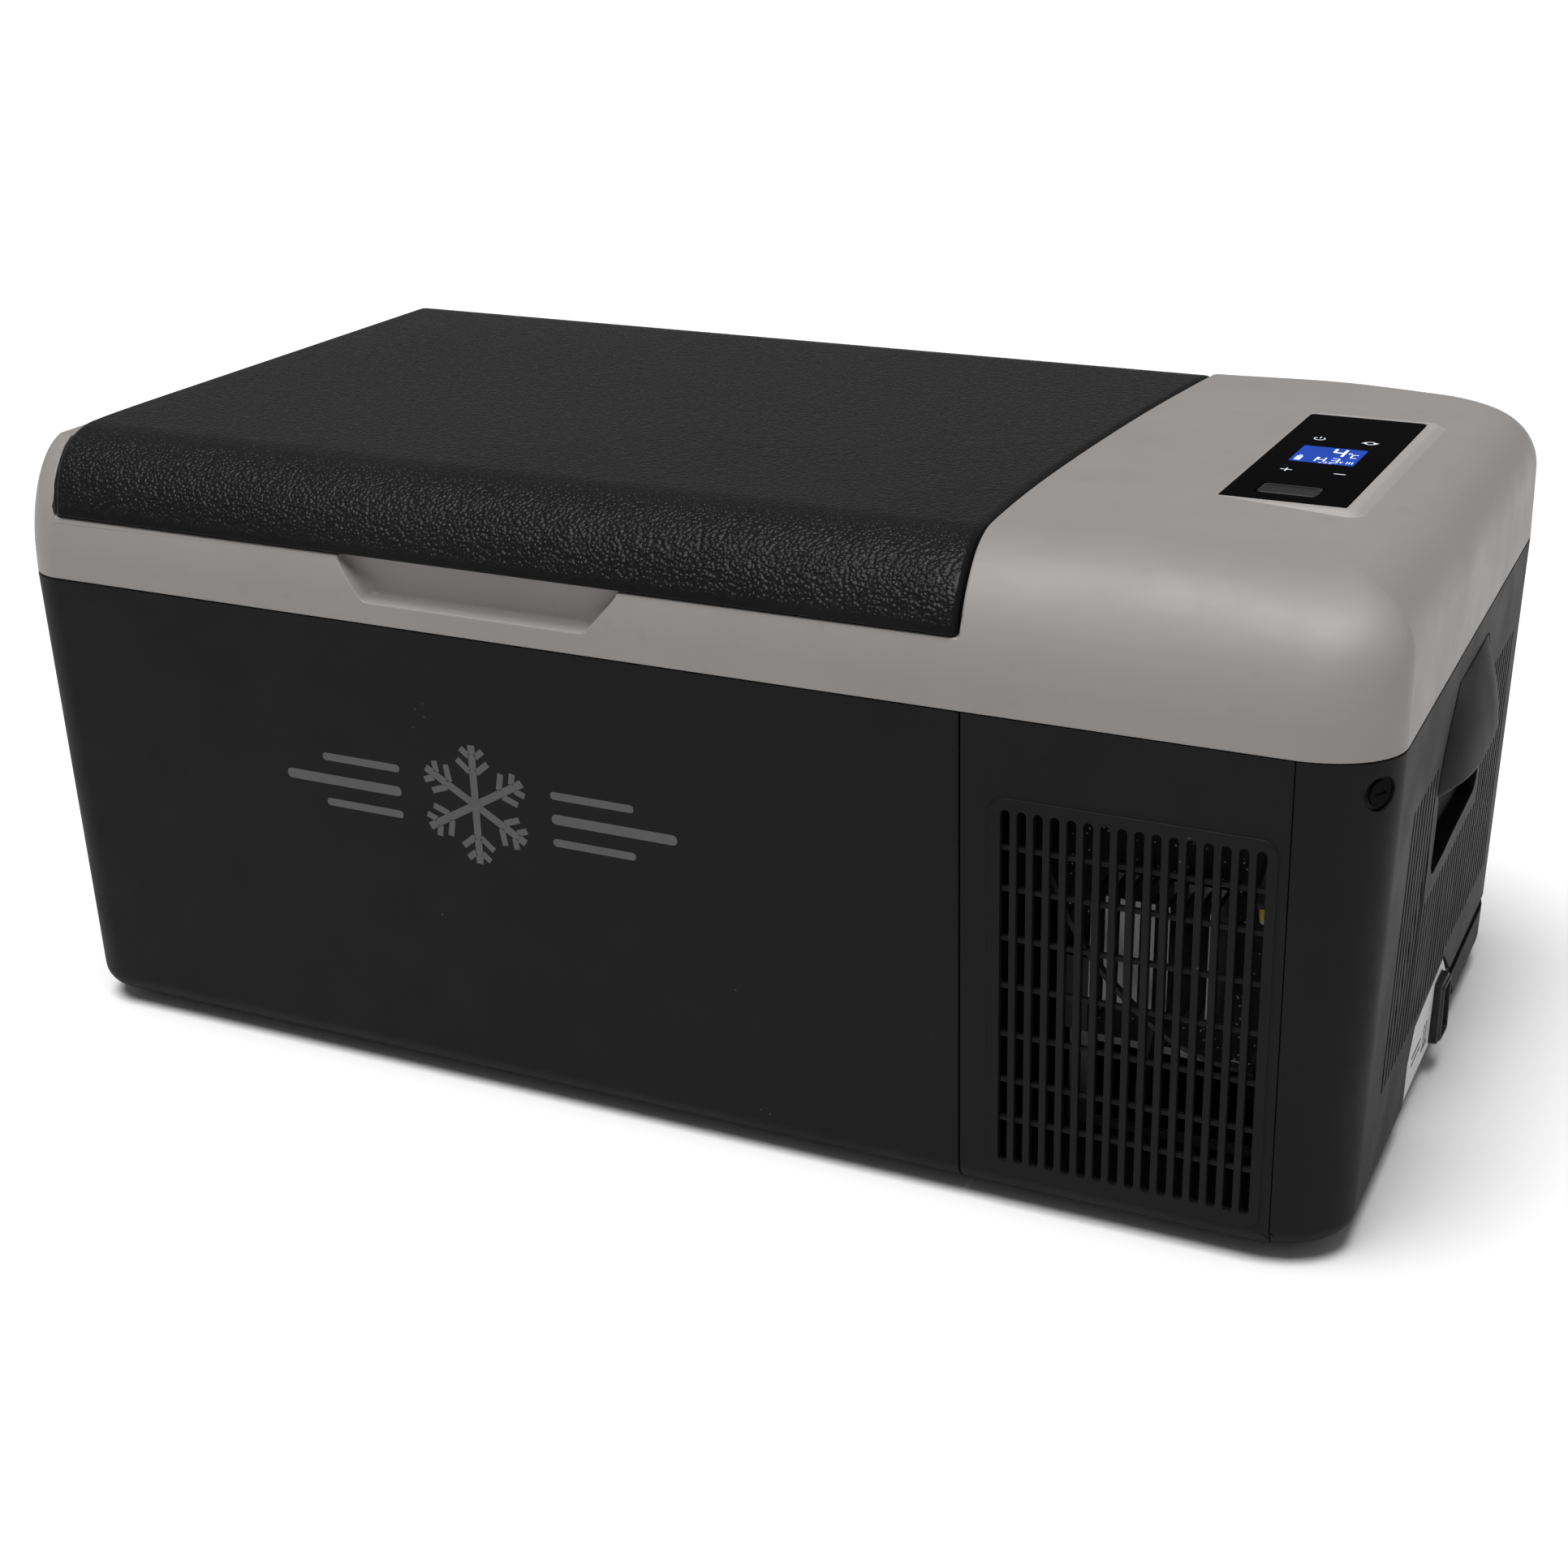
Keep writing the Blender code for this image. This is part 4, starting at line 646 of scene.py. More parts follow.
def wires():
    """Two-colour sleeve: bands of yellow and white insulation."""
    finish = Finish("wire_yellow", (0.75, 0.56, 0.02), 0.42)
    across = finish.add("ShaderNodeSeparateXYZ", {0: finish.place}).outputs["Z"]
    finish.tint(finish.span(across, *WHITE_WIRE_TOP, 1.0, 0.0), (0.72, 0.72, 0.70))
    finish.rough(finish.noise(400.0), 0.36, 0.5)
    return finish.material


BLACK = (0.0075, 0.0075, 0.0077)
GREY = (0.229, 0.216, 0.209)
LID_BLACK = (0.0066, 0.0066, 0.0067)
WHITE_WIRE_TOP = (0.1120, 0.1124)

# colour, roughness, texture scale, texture depth in mm, specular level, change of tone
PLASTICS = {
    "grey_frame": (GREY, 0.46, 1300.0, 0.010, 0.40, 0.05),
    # display border: the frame's grey made 1.32 times lighter, a painted highlight for the light on its
    # slopes
    "bezel_painted_highlight_grey": (shade(GREY, 1.32), 0.42, 1300.0, 0.010, 0.40, 0.05),
    "liner_grey": ((0.60, 0.61, 0.62), 0.40, 900.0, 0.02, 0.45, 0.04),
    "label_grey": ((0.60, 0.60, 0.60), 0.42, 2400.0, 0.01, 0.4, 0.04),
    "print_grey": ((0.075, 0.075, 0.076), 0.5, 1800.0, 0.01, 0.25, 0.08),
    "wire_black": ((0.013, 0.013, 0.013), 0.45, 1800.0, 0.02),
    "flap_black": ((0.010, 0.010, 0.0105), 0.42, 1600.0, 0.03, 0.3, 0.2),
    # near-black, almost matt finish for the panel screws: painted shade that makes them read as the shadow
    # inside their recesses
    "screw_painted_shade": ((0.0022, 0.0022, 0.0022), 0.6, 1500.0, 0.02, 0.03, 0.1),
}
# colour, roughness, stretch of the streaks
METALS = {
    "aluminium": ((0.72, 0.73, 0.75), 0.38),
    "steel": ((0.55, 0.55, 0.56), 0.34, (12.0, 1.0, 1.0)),
    "brass": ((0.72, 0.56, 0.26), 0.28),
    "sink_grey": ((0.30, 0.30, 0.31), 0.50),
}


def make_finishes():
    """Every finish by its name."""
    made = {"black_housing": black_plastic(), "lid_black": grained_black(), "glass_black": glass_black(),
            "compressor_black": enamel(), "copper": copper(), "rubber": rubber(), "foam": foam(),
            "screen_blue": screen_blue(), "sign_white": lit_sign(), "board_green": board_green(),
            "wire_yellow": wires(), "lens": lens()}
    made.update({name: plastic(name, *values).material for name, values in PLASTICS.items()})
    made.update({name: metal(name, *values) for name, values in METALS.items()})
    return made


# ---------------------------------------------------------------- handles
def hood_rings(side, shrink, levels, lip_round=0.0, back=2.0):
    """D-shaped sections of a handle hood that stands out of the end wall; side is +1 or -1."""
    rings = []
    for z in levels:
        fall = min(max((HOOD_TOP - z) / (HOOD_TOP - HOOD_LIP), 0.0), 1.0)
        near = max(lip_round - (z - HOOD_LIP), 0.0)
        tuck = lip_round - math.sqrt(max(lip_round ** 2 - near ** 2, 0.0)) if lip_round else 0.0
        out = HOOD_OUT * math.sin(math.pi / 2 * fall) ** 0.8 - shrink - tuck
        half = HOOD_TOP_HALF + (HOOD_HALF - HOOD_TOP_HALF) * math.sin(math.pi / 2 * fall) - shrink - tuck
        wall = housing_x(z)
        points = []
        for k in range(-HOOD_COLUMNS, HOOD_COLUMNS + 1):
            share = k / HOOD_COLUMNS
            y, bulge = half * share, out * max(1 - abs(share) ** 3, 0.02)
            points.append((lean(side * (wall + bulge), y), y, z))
        rings.append(points + [(side * (wall - back), half, z), (side * (wall - back), -half, z)])
    return rings


def handle_tools(side, tag):
    """The hood to add, the pocket's backing to add, and the finger pocket to cut."""
    steps = 16
    levels = [HOOD_LIP + (HOOD_TOP - 0.5 - HOOD_LIP) * (k / steps) ** 1.2 for k in range(steps + 1)]
    levels = sorted(levels + [HOOD_LIP + rise for rise in (0.3, 0.8, 1.4, 2.4)])
    hood = loft(tag + "_hood", hood_rings(side, 0.0, levels, HOOD_LIP_ROUND))
    wall = housing_x(POCKET_Z0)
    reach = END_LEAN if side > 0 else -1.0
    xs = sorted((side * (wall - POCKET_DEEP - POCKET_WALL), side * (wall + reach)))
    half = POCKET_HALF + 3 + POCKET_WALL
    backing = box(tag + "_backing", (xs[0], -half, POCKET_Z0 - POCKET_WALL),
                  (xs[1], half, POCKET_Z1 + POCKET_WALL + 3))
    outline = rounded_outline(-POCKET_HALF, POCKET_HALF, POCKET_Z0, POCKET_Z1, POCKET_CORNER)
    inner = rounded_outline(-POCKET_HALF + POCKET_SLOPE, POCKET_HALF - POCKET_SLOPE,
                            POCKET_Z0 + POCKET_RISE, POCKET_Z1 - 1, POCKET_CORNER + 2)
    near, far = side * (wall - POCKET_DEEP), side * (wall - POCKET_MOUTH)
    pocket = prism(tag + "_pocket", [inner], "X", near, far, [outline])
    mouth_outline = rounded_outline(-POCKET_HALF, POCKET_HALF, POCKET_Z0, HOOD_LIP + 1, POCKET_CORNER - 0.1)
    mouth = prism(tag + "_mouth", [mouth_outline], "X", far - side * 0.5, side * (wall + 30))
    low, high = HOOD_LIP - 2, HOOD_TOP - 15
    inside = [low + (high - low) * k / 6 for k in range(7)]
    hollow = loft(tag + "_hollow", hood_rings(side, HOOD_WALL, inside, 0.0, 8.0))
    return hood, backing, (pocket, mouth, hollow)


# ---------------------------------------------------------------- black casing
def make_tub_housing():
    """Black shell round the food tub, with the left handle and a hole for the cooling lines."""
    housing = loft("tub_shell", housing_rings(0.0, PARTING_Z - GAP))
    keep(housing, box("tub_side", (-FAR - 100, -FAR, -UNDER), (SEAM_X - GAP, FAR, FAR)))
    hood, backing, pocket = handle_tools(-1, "left")
    inside = loft("tub_shell_inside", housing_rings(HOUSING_WALL, PARTING_Z + 5))
    keep(inside, box("tub_inside_side", (-FAR - 100, -FAR, -UNDER),
                     (SEAM_X - GAP - PARTITION_WALL, FAR, FAR)))
    cut(inside, backing)
    bake(inside)
    cut(housing, inside)
    join(housing, hood)
    cut(housing, *pocket)
    x, y, z, radius = LINE_HOLE
    cut(housing, cylinder("line_hole", (x, y, z), "X", radius, 60))
    soften(housing, 0.5)
    show(housing, "cabinet", FINISHES["black_housing"], "tub_housing", slot="black_housing")


def on_face(points, sign, lift):
    """Put (x, z) points on the leaning front or rear face, lifted off it."""
    return [(x, sign * (housing_y(z) + lift), z) for x, z in points]


def face_slab(name, outline, sign, lift, sink):
    """A flat-topped slab that stands out of the leaning face."""
    return loft(name, [on_face(outline, sign, -sink), on_face(outline, sign, lift)])


def make_grille_panel(name, sign):
    """Front or rear panel of the machine compartment: a raised border, upright slots and ribs behind them."""
    panel = loft(name + "_visual", housing_rings(0.0, PARTING_Z - GAP))
    ys = sorted((sign * 170.0, sign * 140.0))
    keep(panel, box(name + "_region", (SEAM_X + GAP, ys[0], -UNDER), (PANEL_SEAM_X - GAP / 2, ys[1], 250)))
    cut(panel, loft(name + "_inside", housing_rings(PANEL_WALL, PARTING_Z + 5)))
    border = rounded_outline(BORDER_LOW[0], BORDER_HIGH[0], BORDER_LOW[1], BORDER_HIGH[1], 6.0)
    join(panel, face_slab(name + "_border", border, sign, 0.6, 1.5))
    pitch = (SLOT_X1 - SLOT_X0) / (SLOT_COUNT - 1)
    outlines = [slot_outline(SLOT_X0 + pitch * k, SLOT_Z0, SLOT_Z1, SLOT_WIDTH) for k in range(SLOT_COUNT)]
    cut(panel, prism(name + "_slots", outlines, "Y", ys[0] - 5, ys[1] + 5))
    soften(panel, 0.35)
    show(panel, "cabinet", FINISHES["black_housing"], name, slot="black_housing")
    make_ribs(name + "_ribs", sign)


def make_ribs(name, sign):
    """Cross ribs behind the slots, each a bar with a rounded upper lip."""
    bm = bmesh.new()
    for z in RIB_ZS:
        section = [(sign * (housing_y(z) + depth), z + rise) for depth, rise in RIB_SECTION]
        ends = BORDER_LOW[0] + 3, BORDER_HIGH[0] - 3
        skin(bm, [[bm.verts.new((x, *point)) for point in section] for x in ends])
    ribs = place(name, finish_mesh(bm, name))
    edge = ribs.modifiers.new("edge", "BEVEL")
    edge.width = 0.2 * MM
    edge.segments = 2
    bake(ribs)
    show(ribs, "cabinet", FINISHES["black_housing"], slot="black_housing")


def make_side_panel():
    """Leaning end panel with the right handle, the slits, the notch for the inlet and the screw recesses."""
    panel = loft("end_panel", housing_rings(0.0, PARTING_Z - GAP))
    keep(panel, box("side_region", (PANEL_SEAM_X + GAP / 2, -FAR, -UNDER), (FAR + 100, FAR, FAR)))
    hood, backing, pocket = handle_tools(1, "right")
    cut(panel, loft("side_inside", housing_rings(PANEL_WALL, PARTING_Z + 5)))
    keep(backing, loft("backing_limit", housing_rings(1.0, PARTING_Z - 6)))
    bake(backing)
    join(panel, backing, hood)
    cut(panel, *pocket)
    pitch = (SLIT_Y1 - SLIT_Y0) / (SLIT_COUNT - 1)
    slits = []
    for k in range(SLIT_COUNT):
        y = SLIT_Y0 + pitch * k
        top = SLIT_Z1 if abs(y) > HOOD_HALF + 4 else POCKET_Z0 - 8
        slits.append(slot_outline(y, slit_base(y), top, SLIT_WIDTH, 5))
    cut(panel, prism("side_slits", slits, "X", INSIDE_X, FAR))
    cut(panel, prism("side_notch", [NOTCH], "X", INSIDE_X, FAR))
    for sign, tag in ((-1, "front"), (1, "rear")):
        cut(panel, screw_recess(sign, tag))
    soften(panel, 0.35)
    show(panel, "cabinet", FINISHES["black_housing"], "side_panel", slot="black_housing")


def slit_base(y):
    """Height of a slit's lower end, which steps up beside the inlet."""
    return SLIT_Z0 if y < 20 else SLIT_Z0 + 4


def screw_recess(sign, tag):
    """A blind round pocket from the corner's surface inwards."""
    half_x, half_y = housing_size(SCREW_Z)
    angle = math.radians(SCREW_ANGLE)
    corner = CORNER_FRONT_RIGHT if sign < 0 else CORNER_REAR_RIGHT
    length = 8.0 + SCREW_RECESS_DEPTH
    item = cylinder(tag + "_recess", (0, 0, 0), "X", SCREW_RECESS_R, length)
    x = half_x - corner + corner * math.cos(angle)
    y = sign * (half_y - corner + corner * math.sin(angle))
    outwards = Vector((math.cos(angle), sign * math.sin(angle), 0)) * (length / 2 - SCREW_RECESS_DEPTH)
    item.location = (Vector((lean(x, y), y, SCREW_Z)) + outwards) * MM
    item.rotation_euler = (0, 0, sign * angle)
    return item


def make_base_tray():
    """Floor of the machine compartment with its upstand behind the inlet."""
    tray = loft("base_floor", housing_rings(1.5, 60.0))
    edge = PANEL_SEAM_X - GAP / 2
    region = box("tray_floor_region", (SEAM_X + GAP, -TRAY_HALF, -UNDER), (edge, TRAY_HALF, 20))
    join(region, prism("tray_plate_region", [TRAY_PLATE], "X", edge - 5, 290))
    bake(region)
    keep(tray, region)
    cut(tray, loft("tray_inside", housing_rings(4.0, 70.0)))
    flush = loft("tray_upstand", housing_rings(0.0, 28.0))
    keep(flush, prism("upstand_region", [TRAY_UPSTAND], "X", PANEL_SEAM_X + 3, FAR))
    cut(flush, loft("upstand_inside", housing_rings(HOUSING_WALL, 60.0)))
    bake(flush)
    join(tray, flush)
    cut(tray, socket_window("tray_window"))
    soften(tray, 0.4)
    show(tray, "cabinet", FINISHES["black_housing"], "base_tray", slot="black_housing")


def socket_window(name):
    return box(name, (250, SOCKET_LOW.y - GAP, SOCKET_LOW.z - GAP),
               (FAR, SOCKET_HIGH.y + GAP, SOCKET_HIGH.z + GAP))


def make_label():
    """Light plate round the inlet with a printed direct-current sign."""
    label = loft("inlet_plate", housing_rings(0.5, 60.0))
    keep(label, prism("label_region", [round_corners(LABEL, 2.0)], "X", 262, FAR))
    cut(label, loft("label_inside", housing_rings(1.2, 70.0)))
    cut(label, socket_window("label_window"))
    soften(label, 0.15)
    show(label, "cabinet", FINISHES["label_grey"], "inlet_label", slot="label_grey")
    marks = [(-32.0, -14.0, 27.4, 28.6)] + [(-32.0 + 6.5 * k, -27.0 + 6.5 * k, 24.0, 25.2) for k in range(3)]
    marks += [(-8.0, -6.8, 21.5, 31.0), (-3.8, -2.6, 21.5, 31.0), (-10.0, 0.0, 19.5, 21.5)]
    bm = bmesh.new()
    for y0, y1, z0, z1 in marks:
        rows = []
        for lift in (-0.6, -0.42):
            corners = (y0, z0), (y1, z0), (y1, z1), (y0, z1)
            rows.append([bm.verts.new((lean(housing_x(z) + lift, y), y, z)) for y, z in corners])
        skin(bm, rows)
    sign = place("inlet_sign", finish_mesh(bm, "inlet_sign"))
    show(sign, "cabinet", FINISHES["print_grey"])


def make_inlet():
    """Two-pin inlet: a block with a stepped, tapered collar and a deep mouth."""
    x0, x1 = SOCKET_LOW.x, SOCKET_HIGH.x
    y0, y1, z0, z1 = SOCKET_LOW.y, SOCKET_HIGH.y, SOCKET_LOW.z, SOCKET_HIGH.z

    def level(x, inset, corner):
        return [(x, y, z) for y, z in rounded_outline(y0 + inset, y1 - inset, z0 + inset, z1 - inset, corner)]
    socket = loft("inlet_socket", [level(x0, 0.0, 2.2), level(x1 - 1.8, 0.0, 2.2), level(x1 - 1.2, 0.3, 2.2),
                                   level(x1 - 0.9, 1.1, 2.0), level(x1, 1.5, 1.8)])
    cut(socket, loft("inlet_mouth", [level(x0 + 2.5, 3.0, 1.0), level(x1 - 0.8, 2.5, 1.2),
                                     level(x1 + 5, 2.2, 1.4)]))
    soften(socket, 0.25)
    show(socket, "cabinet", FINISHES["flap_black"], "dc_socket", slot="black_housing")
    for tag in ("lower", "upper"):
        low, high = cad_box("dc_pin_" + tag)
        r, tip = (high.y - low.y) / 2, high.x
        profile = [(r, low.x), (r, tip - 1.4), (r * 0.9, tip - 0.7), (r * 0.6, tip - 0.2), (0, tip)]
        pin = turned("inlet_pin_" + tag, profile, (0, (low.y + high.y) / 2, (low.z + high.z) / 2), "X", 24)
        soften(pin, 0)
        show(pin, "cabinet", FINISHES["brass"], "dc_pin_" + tag, slot="brass")


# ---------------------------------------------------------------- grey frame
def recess_outline(grow):
    """Front view of the finger recess, grown outwards; it stays open at the top."""
    return [(RECESS_TOP[0] - grow, RECESS_OPEN_Z), (RECESS_BASE[0] - grow / 2, RECESS_Z - grow),
            (RECESS_BASE[1] + grow / 2, RECESS_Z - grow), (RECESS_TOP[1] + grow, RECESS_OPEN_Z)]


def smooth(t):
    """A soft step from 0 to 1."""
    t = min(max(t, 0.0), 1.0)
    return t * t * (3 - 2 * t)


def cover_lift(x):
    """The machine cover's crown: it is level with the display on its left and falls away to the right."""
    if x < CROWN_X1:
        edge = smooth((x - CROWN_X0) / (CROWN_STEP_X - CROWN_X0))
        return CROWN_STEP * (edge + smooth((x - CROWN_STEP_X) / (CROWN_X1 - CROWN_STEP_X)))
    return 2 * CROWN_STEP * (1 - smooth((x - CROWN_X1) / CROWN_FALL))


def crown_cover(item):
    """Raise the flat top of a frame loft along the cover's crown."""
    bm = bmesh.new()
    bm.from_mesh(item.data)
    for x in range(int(CROWN_X0), 262, 5):
        bmesh.ops.bisect_plane(bm, geom=bm.verts[:] + bm.edges[:] + bm.faces[:],
                               plane_co=(x * MM, 0, 0), plane_no=(1, 0, 0))
    for vert in bm.verts:
        x, z = vert.co.x / MM, vert.co.z / MM
        vert.co.z += MM * cover_lift(x) * smooth((z - CROWN_BASE_Z) / (COVER_Z - CROWN_BASE_Z))
    bm.to_mesh(item.data)
    bm.free()
    return item


def make_top_frame():
    """Grey moulding: the band round the tub, the cover over the machine and the hollows under both."""
    moulding = crown_cover(loft("frame_moulding", frame_rings(0.0, PARTING_Z, COVER_Z)))
    cut(moulding, box("cheek_top", (-FAR, -200, CHEEK_Z), (-200, 200, 270)))
    cut(moulding, prism("lid_pocket", [lid_plan(-LID_SLOT, -180, 180, 24)], "Z", LEDGE_Z, 270))
    under = LEDGE_Z - FRAME_WALL
    hollow = loft("band_hollow", frame_rings(FRAME_WALL, PARTING_Z - 1, COVER_Z - FRAME_WALL, under, 9))
    keep(hollow, box("band_side", (-FAR, -200, 190), (SEAM_X - GAP - PARTITION_WALL, 200, 230)))
    low, high = TUB_LOW - Vector((1, 1, 0)), TUB_HIGH + Vector((1, 1, 0))
    cut(hollow, box("rim_lip", (low.x, low.y, high.z + GAP), (high.x, high.y, 230)))
    cut(hollow, prism("recess_backing", [recess_outline(FRAME_WALL)], "Y", -180, RECESS_Y + FRAME_WALL))
    bake(hollow)
    cut(moulding, hollow)
    room = loft("cover_room", frame_rings(FRAME_WALL, PARTING_Z - 1, COVER_Z - FRAME_WALL, None, 9))
    region = box("cover_side", (SEAM_X - GAP, -200, 190), (FAR, 200, 230))
    wall_line = [(lid_right(y) + LID_SLOT + FRAME_WALL, y) for y in range(-180, 181, 12)]
    join(region, prism("cover_upper_side", [wall_line + [(310, 190), (310, -190)]], "Z", LEDGE_Z, 270))
    bake(region)
    keep(room, region)
    bake(room)
    cut(moulding, room)
    cut(moulding, tub_mouth())
    cut(moulding, finger_recess())
    cut(moulding, box("glass_seat", GLASS_LOW - Vector((GAP, GAP, GAP)), GLASS_HIGH + Vector((GAP, GAP, 9))))
    cut(moulding, box("glass_window", GLASS_LOW + Vector((4, 4, -9)), GLASS_HIGH + Vector((-4, -4, 9))))
    add_hinge_lugs(moulding)
    weld_cheek(bake(moulding))
    soften(moulding, 0.7, 3, 42, 0.12)
    show(moulding, "cabinet", FINISHES["grey_frame"], "top_frame", slot="grey_frame")


def weld_cheek(item):
    """Merge the closely spaced corners on the left cheek, so that its edge rounds evenly."""
    bm = bmesh.new()
    bm.from_mesh(item.data)
    near = [v for v in bm.verts if v.co.x < CHEEK_X * MM and v.co.z > (LEDGE_Z + 0.5) * MM]
    bmesh.ops.remove_doubles(bm, verts=near, dist=CHEEK_WELD * MM)
    bm.to_mesh(item.data)
    bm.free()


def display_platform():
    """Level seat of the display with a sloped border that shows on its front and right."""
    levels = [(243.0, 0.0, 8.0), (246.2, 0.0, 8.0), (247.6, 0.7, 7.5), (250.2, 5.0, 4.0), (250.6, 6.2, 3.0)]
    sides = GLASS_LOW.x - 8, GLASS_HIGH.x + 9.6, GLASS_LOW.y - 8.5, GLASS_HIGH.y + 9.0
    return loft("display_platform", [even_ring(z, *sides, inset, corner, 8) for z, inset, corner in levels])


def make_bezel():
    """Raised border of the display, a separate frame round the glass, in the frame's grey made lighter: a
    painted highlight for the light on its sloped border.
    """
    bezel = display_platform()
    cut(bezel, box("bezel_seat", GLASS_LOW - Vector((GAP, GAP, 9)), GLASS_HIGH + Vector((GAP, GAP, 9))))
    soften(bezel, 0.4, 2, 30)
    show(bezel, "cabinet", FINISHES["bezel_painted_highlight_grey"])


def tub_mouth():
    """The opening in the frame, flush with the tub's inner walls."""
    low, high = TUB_LOW + Vector((TUB_RIM, TUB_RIM, 0)), TUB_HIGH - Vector((TUB_RIM, TUB_RIM, 0))
    return box("tub_mouth", (low.x, low.y, 190), (high.x, high.y, 230))


def finger_recess():
    """Tapered finger recess: wide at the front face, narrower at its back wall."""
    def outline(shift):
        slope, base = 0.8 * shift, RECESS_Z + shift
        corners = [(RECESS_TOP[0] + shift, RECESS_OPEN_Z), (RECESS_BASE[0] + slope, base),
                   (RECESS_BASE[1] - slope, base), (RECESS_TOP[1] - shift, RECESS_OPEN_Z)]
        return round_corners(corners, RECESS_CORNER)
    levels = [(-180, -0.4), (FACE_Y, -0.4)]
    for ahead, shift in ((3.2, 0.2), (1.6, 0.7), (0.7, 1.4), (0.2, 2.4), (0, 3.8)):
        levels.append((RECESS_Y - ahead, shift))
    return loft("finger_recess", [[(x, y, z) for x, z in outline(shift)] for y, shift in levels])


def barrel(name, x, radius, length, steps=40):
    """A cylinder on the hinge axis."""
    return cylinder(name, (x, HINGE_Y, HINGE_Z), "X", radius, length, steps)


def add_hinge_lugs(moulding):
    """Two lugs beside each of the lid's knuckles, bored for the pin."""
    for i, x in enumerate(HINGE_XS):
        cut(moulding, barrel(f"knuckle_relief_{i}", x, BARREL_R + BARREL_ROOM, KNUCKLE_WIDTH + 2 * GAP))
        for sign in (-1, 1):
            join(moulding, barrel(f"lug_{i}_{sign}", x + sign * LUG_OFFSET, BARREL_R, LUG_WIDTH))
        cut(moulding, barrel(f"lug_bore_{i}", x, PIN_R + GAP, BORE_LENGTH, 24))


# ---------------------------------------------------------------- food tub
def make_tub():
    """Liner of the food tub with rounded floor edges and a rolled rim."""
    sides = TUB_LOW.x + TUB_FLANGE, TUB_HIGH.x - TUB_FLANGE, TUB_LOW.y + TUB_FLANGE, TUB_HIGH.y - TUB_FLANGE
    z0, z1 = TUB_LOW.z, TUB_HIGH.z
    outside = [(z0, 6.0, 12.0), (z0 + 1.5, 2.4, 14.5), (z0 + 5, 0.4, 16), (z0 + 8, 0, 16), (z1 - 2, 0, 16),
               (z1 - 2, -TUB_FLANGE, 18), (z1, -TUB_FLANGE, 18)]
    inside = [(z1, TUB_WALL - 1.2, 15.2), (z1 - 0.4, TUB_WALL - 0.3, 14.3), (z1 - 1.4, TUB_WALL, 14)]
    for k in range(9):
        angle = math.radians(10 * k + 5)
        rise, inset = TUB_FILLET * (1 - math.sin(angle)), TUB_FILLET * (1 - math.cos(angle))
        inside.append((z0 + TUB_WALL + rise, TUB_WALL + inset, 14 - 0.5 * k))
    rings = [even_ring(z, *sides, inset, corner, 12) for z, inset, corner in outside + inside]
    tub = loft("tub_liner", rings)
    soften(tub, 0, angle=40)
    show(tub, "cabinet", FINISHES["liner_grey"], "inner_tub", slot="liner_grey")


# ---------------------------------------------------------------- lid
def lid_profile(depth):
    """Side view of the lid as (y, z, normal y, normal z), from its front foot to its rear foot.

    The depth is how far the line lies inside the lid's outer face.
    """
    radius, centre = ROUND_FRONT - depth, LID_Z - ROUND_FRONT
    first = math.degrees(math.asin((LID_BASE_Z - centre) / radius))
    start, end = LID_FRONT_Y + ROUND_FRONT, LID_REAR_Y - ROUND_REAR
    points = []

    def bend(y, z, size, angle, way):
        across, up = way * math.cos(angle), math.sin(angle)
        points.append((y + size * across, z + size * up, across, up))
    for k in range(LID_FRONT_STEPS + 1):
        bend(start, centre, radius, math.radians(first + (90 - first) * k / LID_FRONT_STEPS), -1)
    for k in range(1, LID_TOP_STEPS):
        points.append((start + (end - start) * k / LID_TOP_STEPS, LID_Z - depth, 0.0, 1.0))
    for k in range(LID_REAR_STEPS + 1):
        bend(end, LID_Z - ROUND_REAR, ROUND_REAR - depth, math.radians(90 - 90 * k / LID_REAR_STEPS), 1)
    points.append((LID_REAR_Y - depth, LID_BASE_Z, 1.0, 0.0))
    return points


def lid_row(y, z, ny, nz, depth):
    """One section across the lid: left wall, rounded edge, top, rounded edge and right wall."""
    radius = LID_EDGE_R - depth * 0.7

    def rim(side):
        points = []
        for k in range(7):
            a = math.radians(15 * k)
            sink = radius * (1 - math.cos(a))
            py, pz = y - ny * sink, max(z - nz * sink, LID_BASE_Z)
            edge = lid_right(py) if side > 0 else lid_left(py) + 0.85 * rear_corner(py + depth)
            points.append((edge - side * (depth + radius * (1 - math.sin(a))), py, pz))
        x, py, pz = points[-1]
        return points + [(x, py, LID_BASE_Z + (pz - LID_BASE_Z) * f) for f in (0.66, 0.33, 0.0)]
    left, right = rim(-1), rim(1)
    span = [Vector(left[0]).lerp(Vector(right[0]), k / LID_COLUMNS) for k in range(1, LID_COLUMNS)]
    return list(reversed(left)) + [tuple(p) for p in span] + right


def lid_skin():
    """The lid's outer and inner faces, closed along its lower edge."""
    bm = bmesh.new()
    edges = []
    for depth in (0.0, LID_WALL):
        rows = [[bm.verts.new(p) for p in lid_row(*point, depth)] for point in lid_profile(depth)]
        for lower, upper in zip(rows, rows[1:]):
            for i in range(len(lower) - 1):
                bm.faces.new((lower[i], lower[i + 1], upper[i + 1], upper[i]))
        right, left = [row[-1] for row in rows[1:]], [row[0] for row in rows[-2:0:-1]]
        edges.append(rows[0] + right + rows[-1][-2::-1] + left)
    outer, inner = edges
    for i in range(len(outer)):
        j = (i + 1) % len(outer)
        bm.faces.new((outer[i], outer[j], inner[j], inner[i]))
    bmesh.ops.remove_doubles(bm, verts=bm.verts, dist=0.01)
    bmesh.ops.dissolve_degenerate(bm, dist=0.005, edges=bm.edges)
    return place("lid_cover", finish_mesh(bm, "lid_cover"))


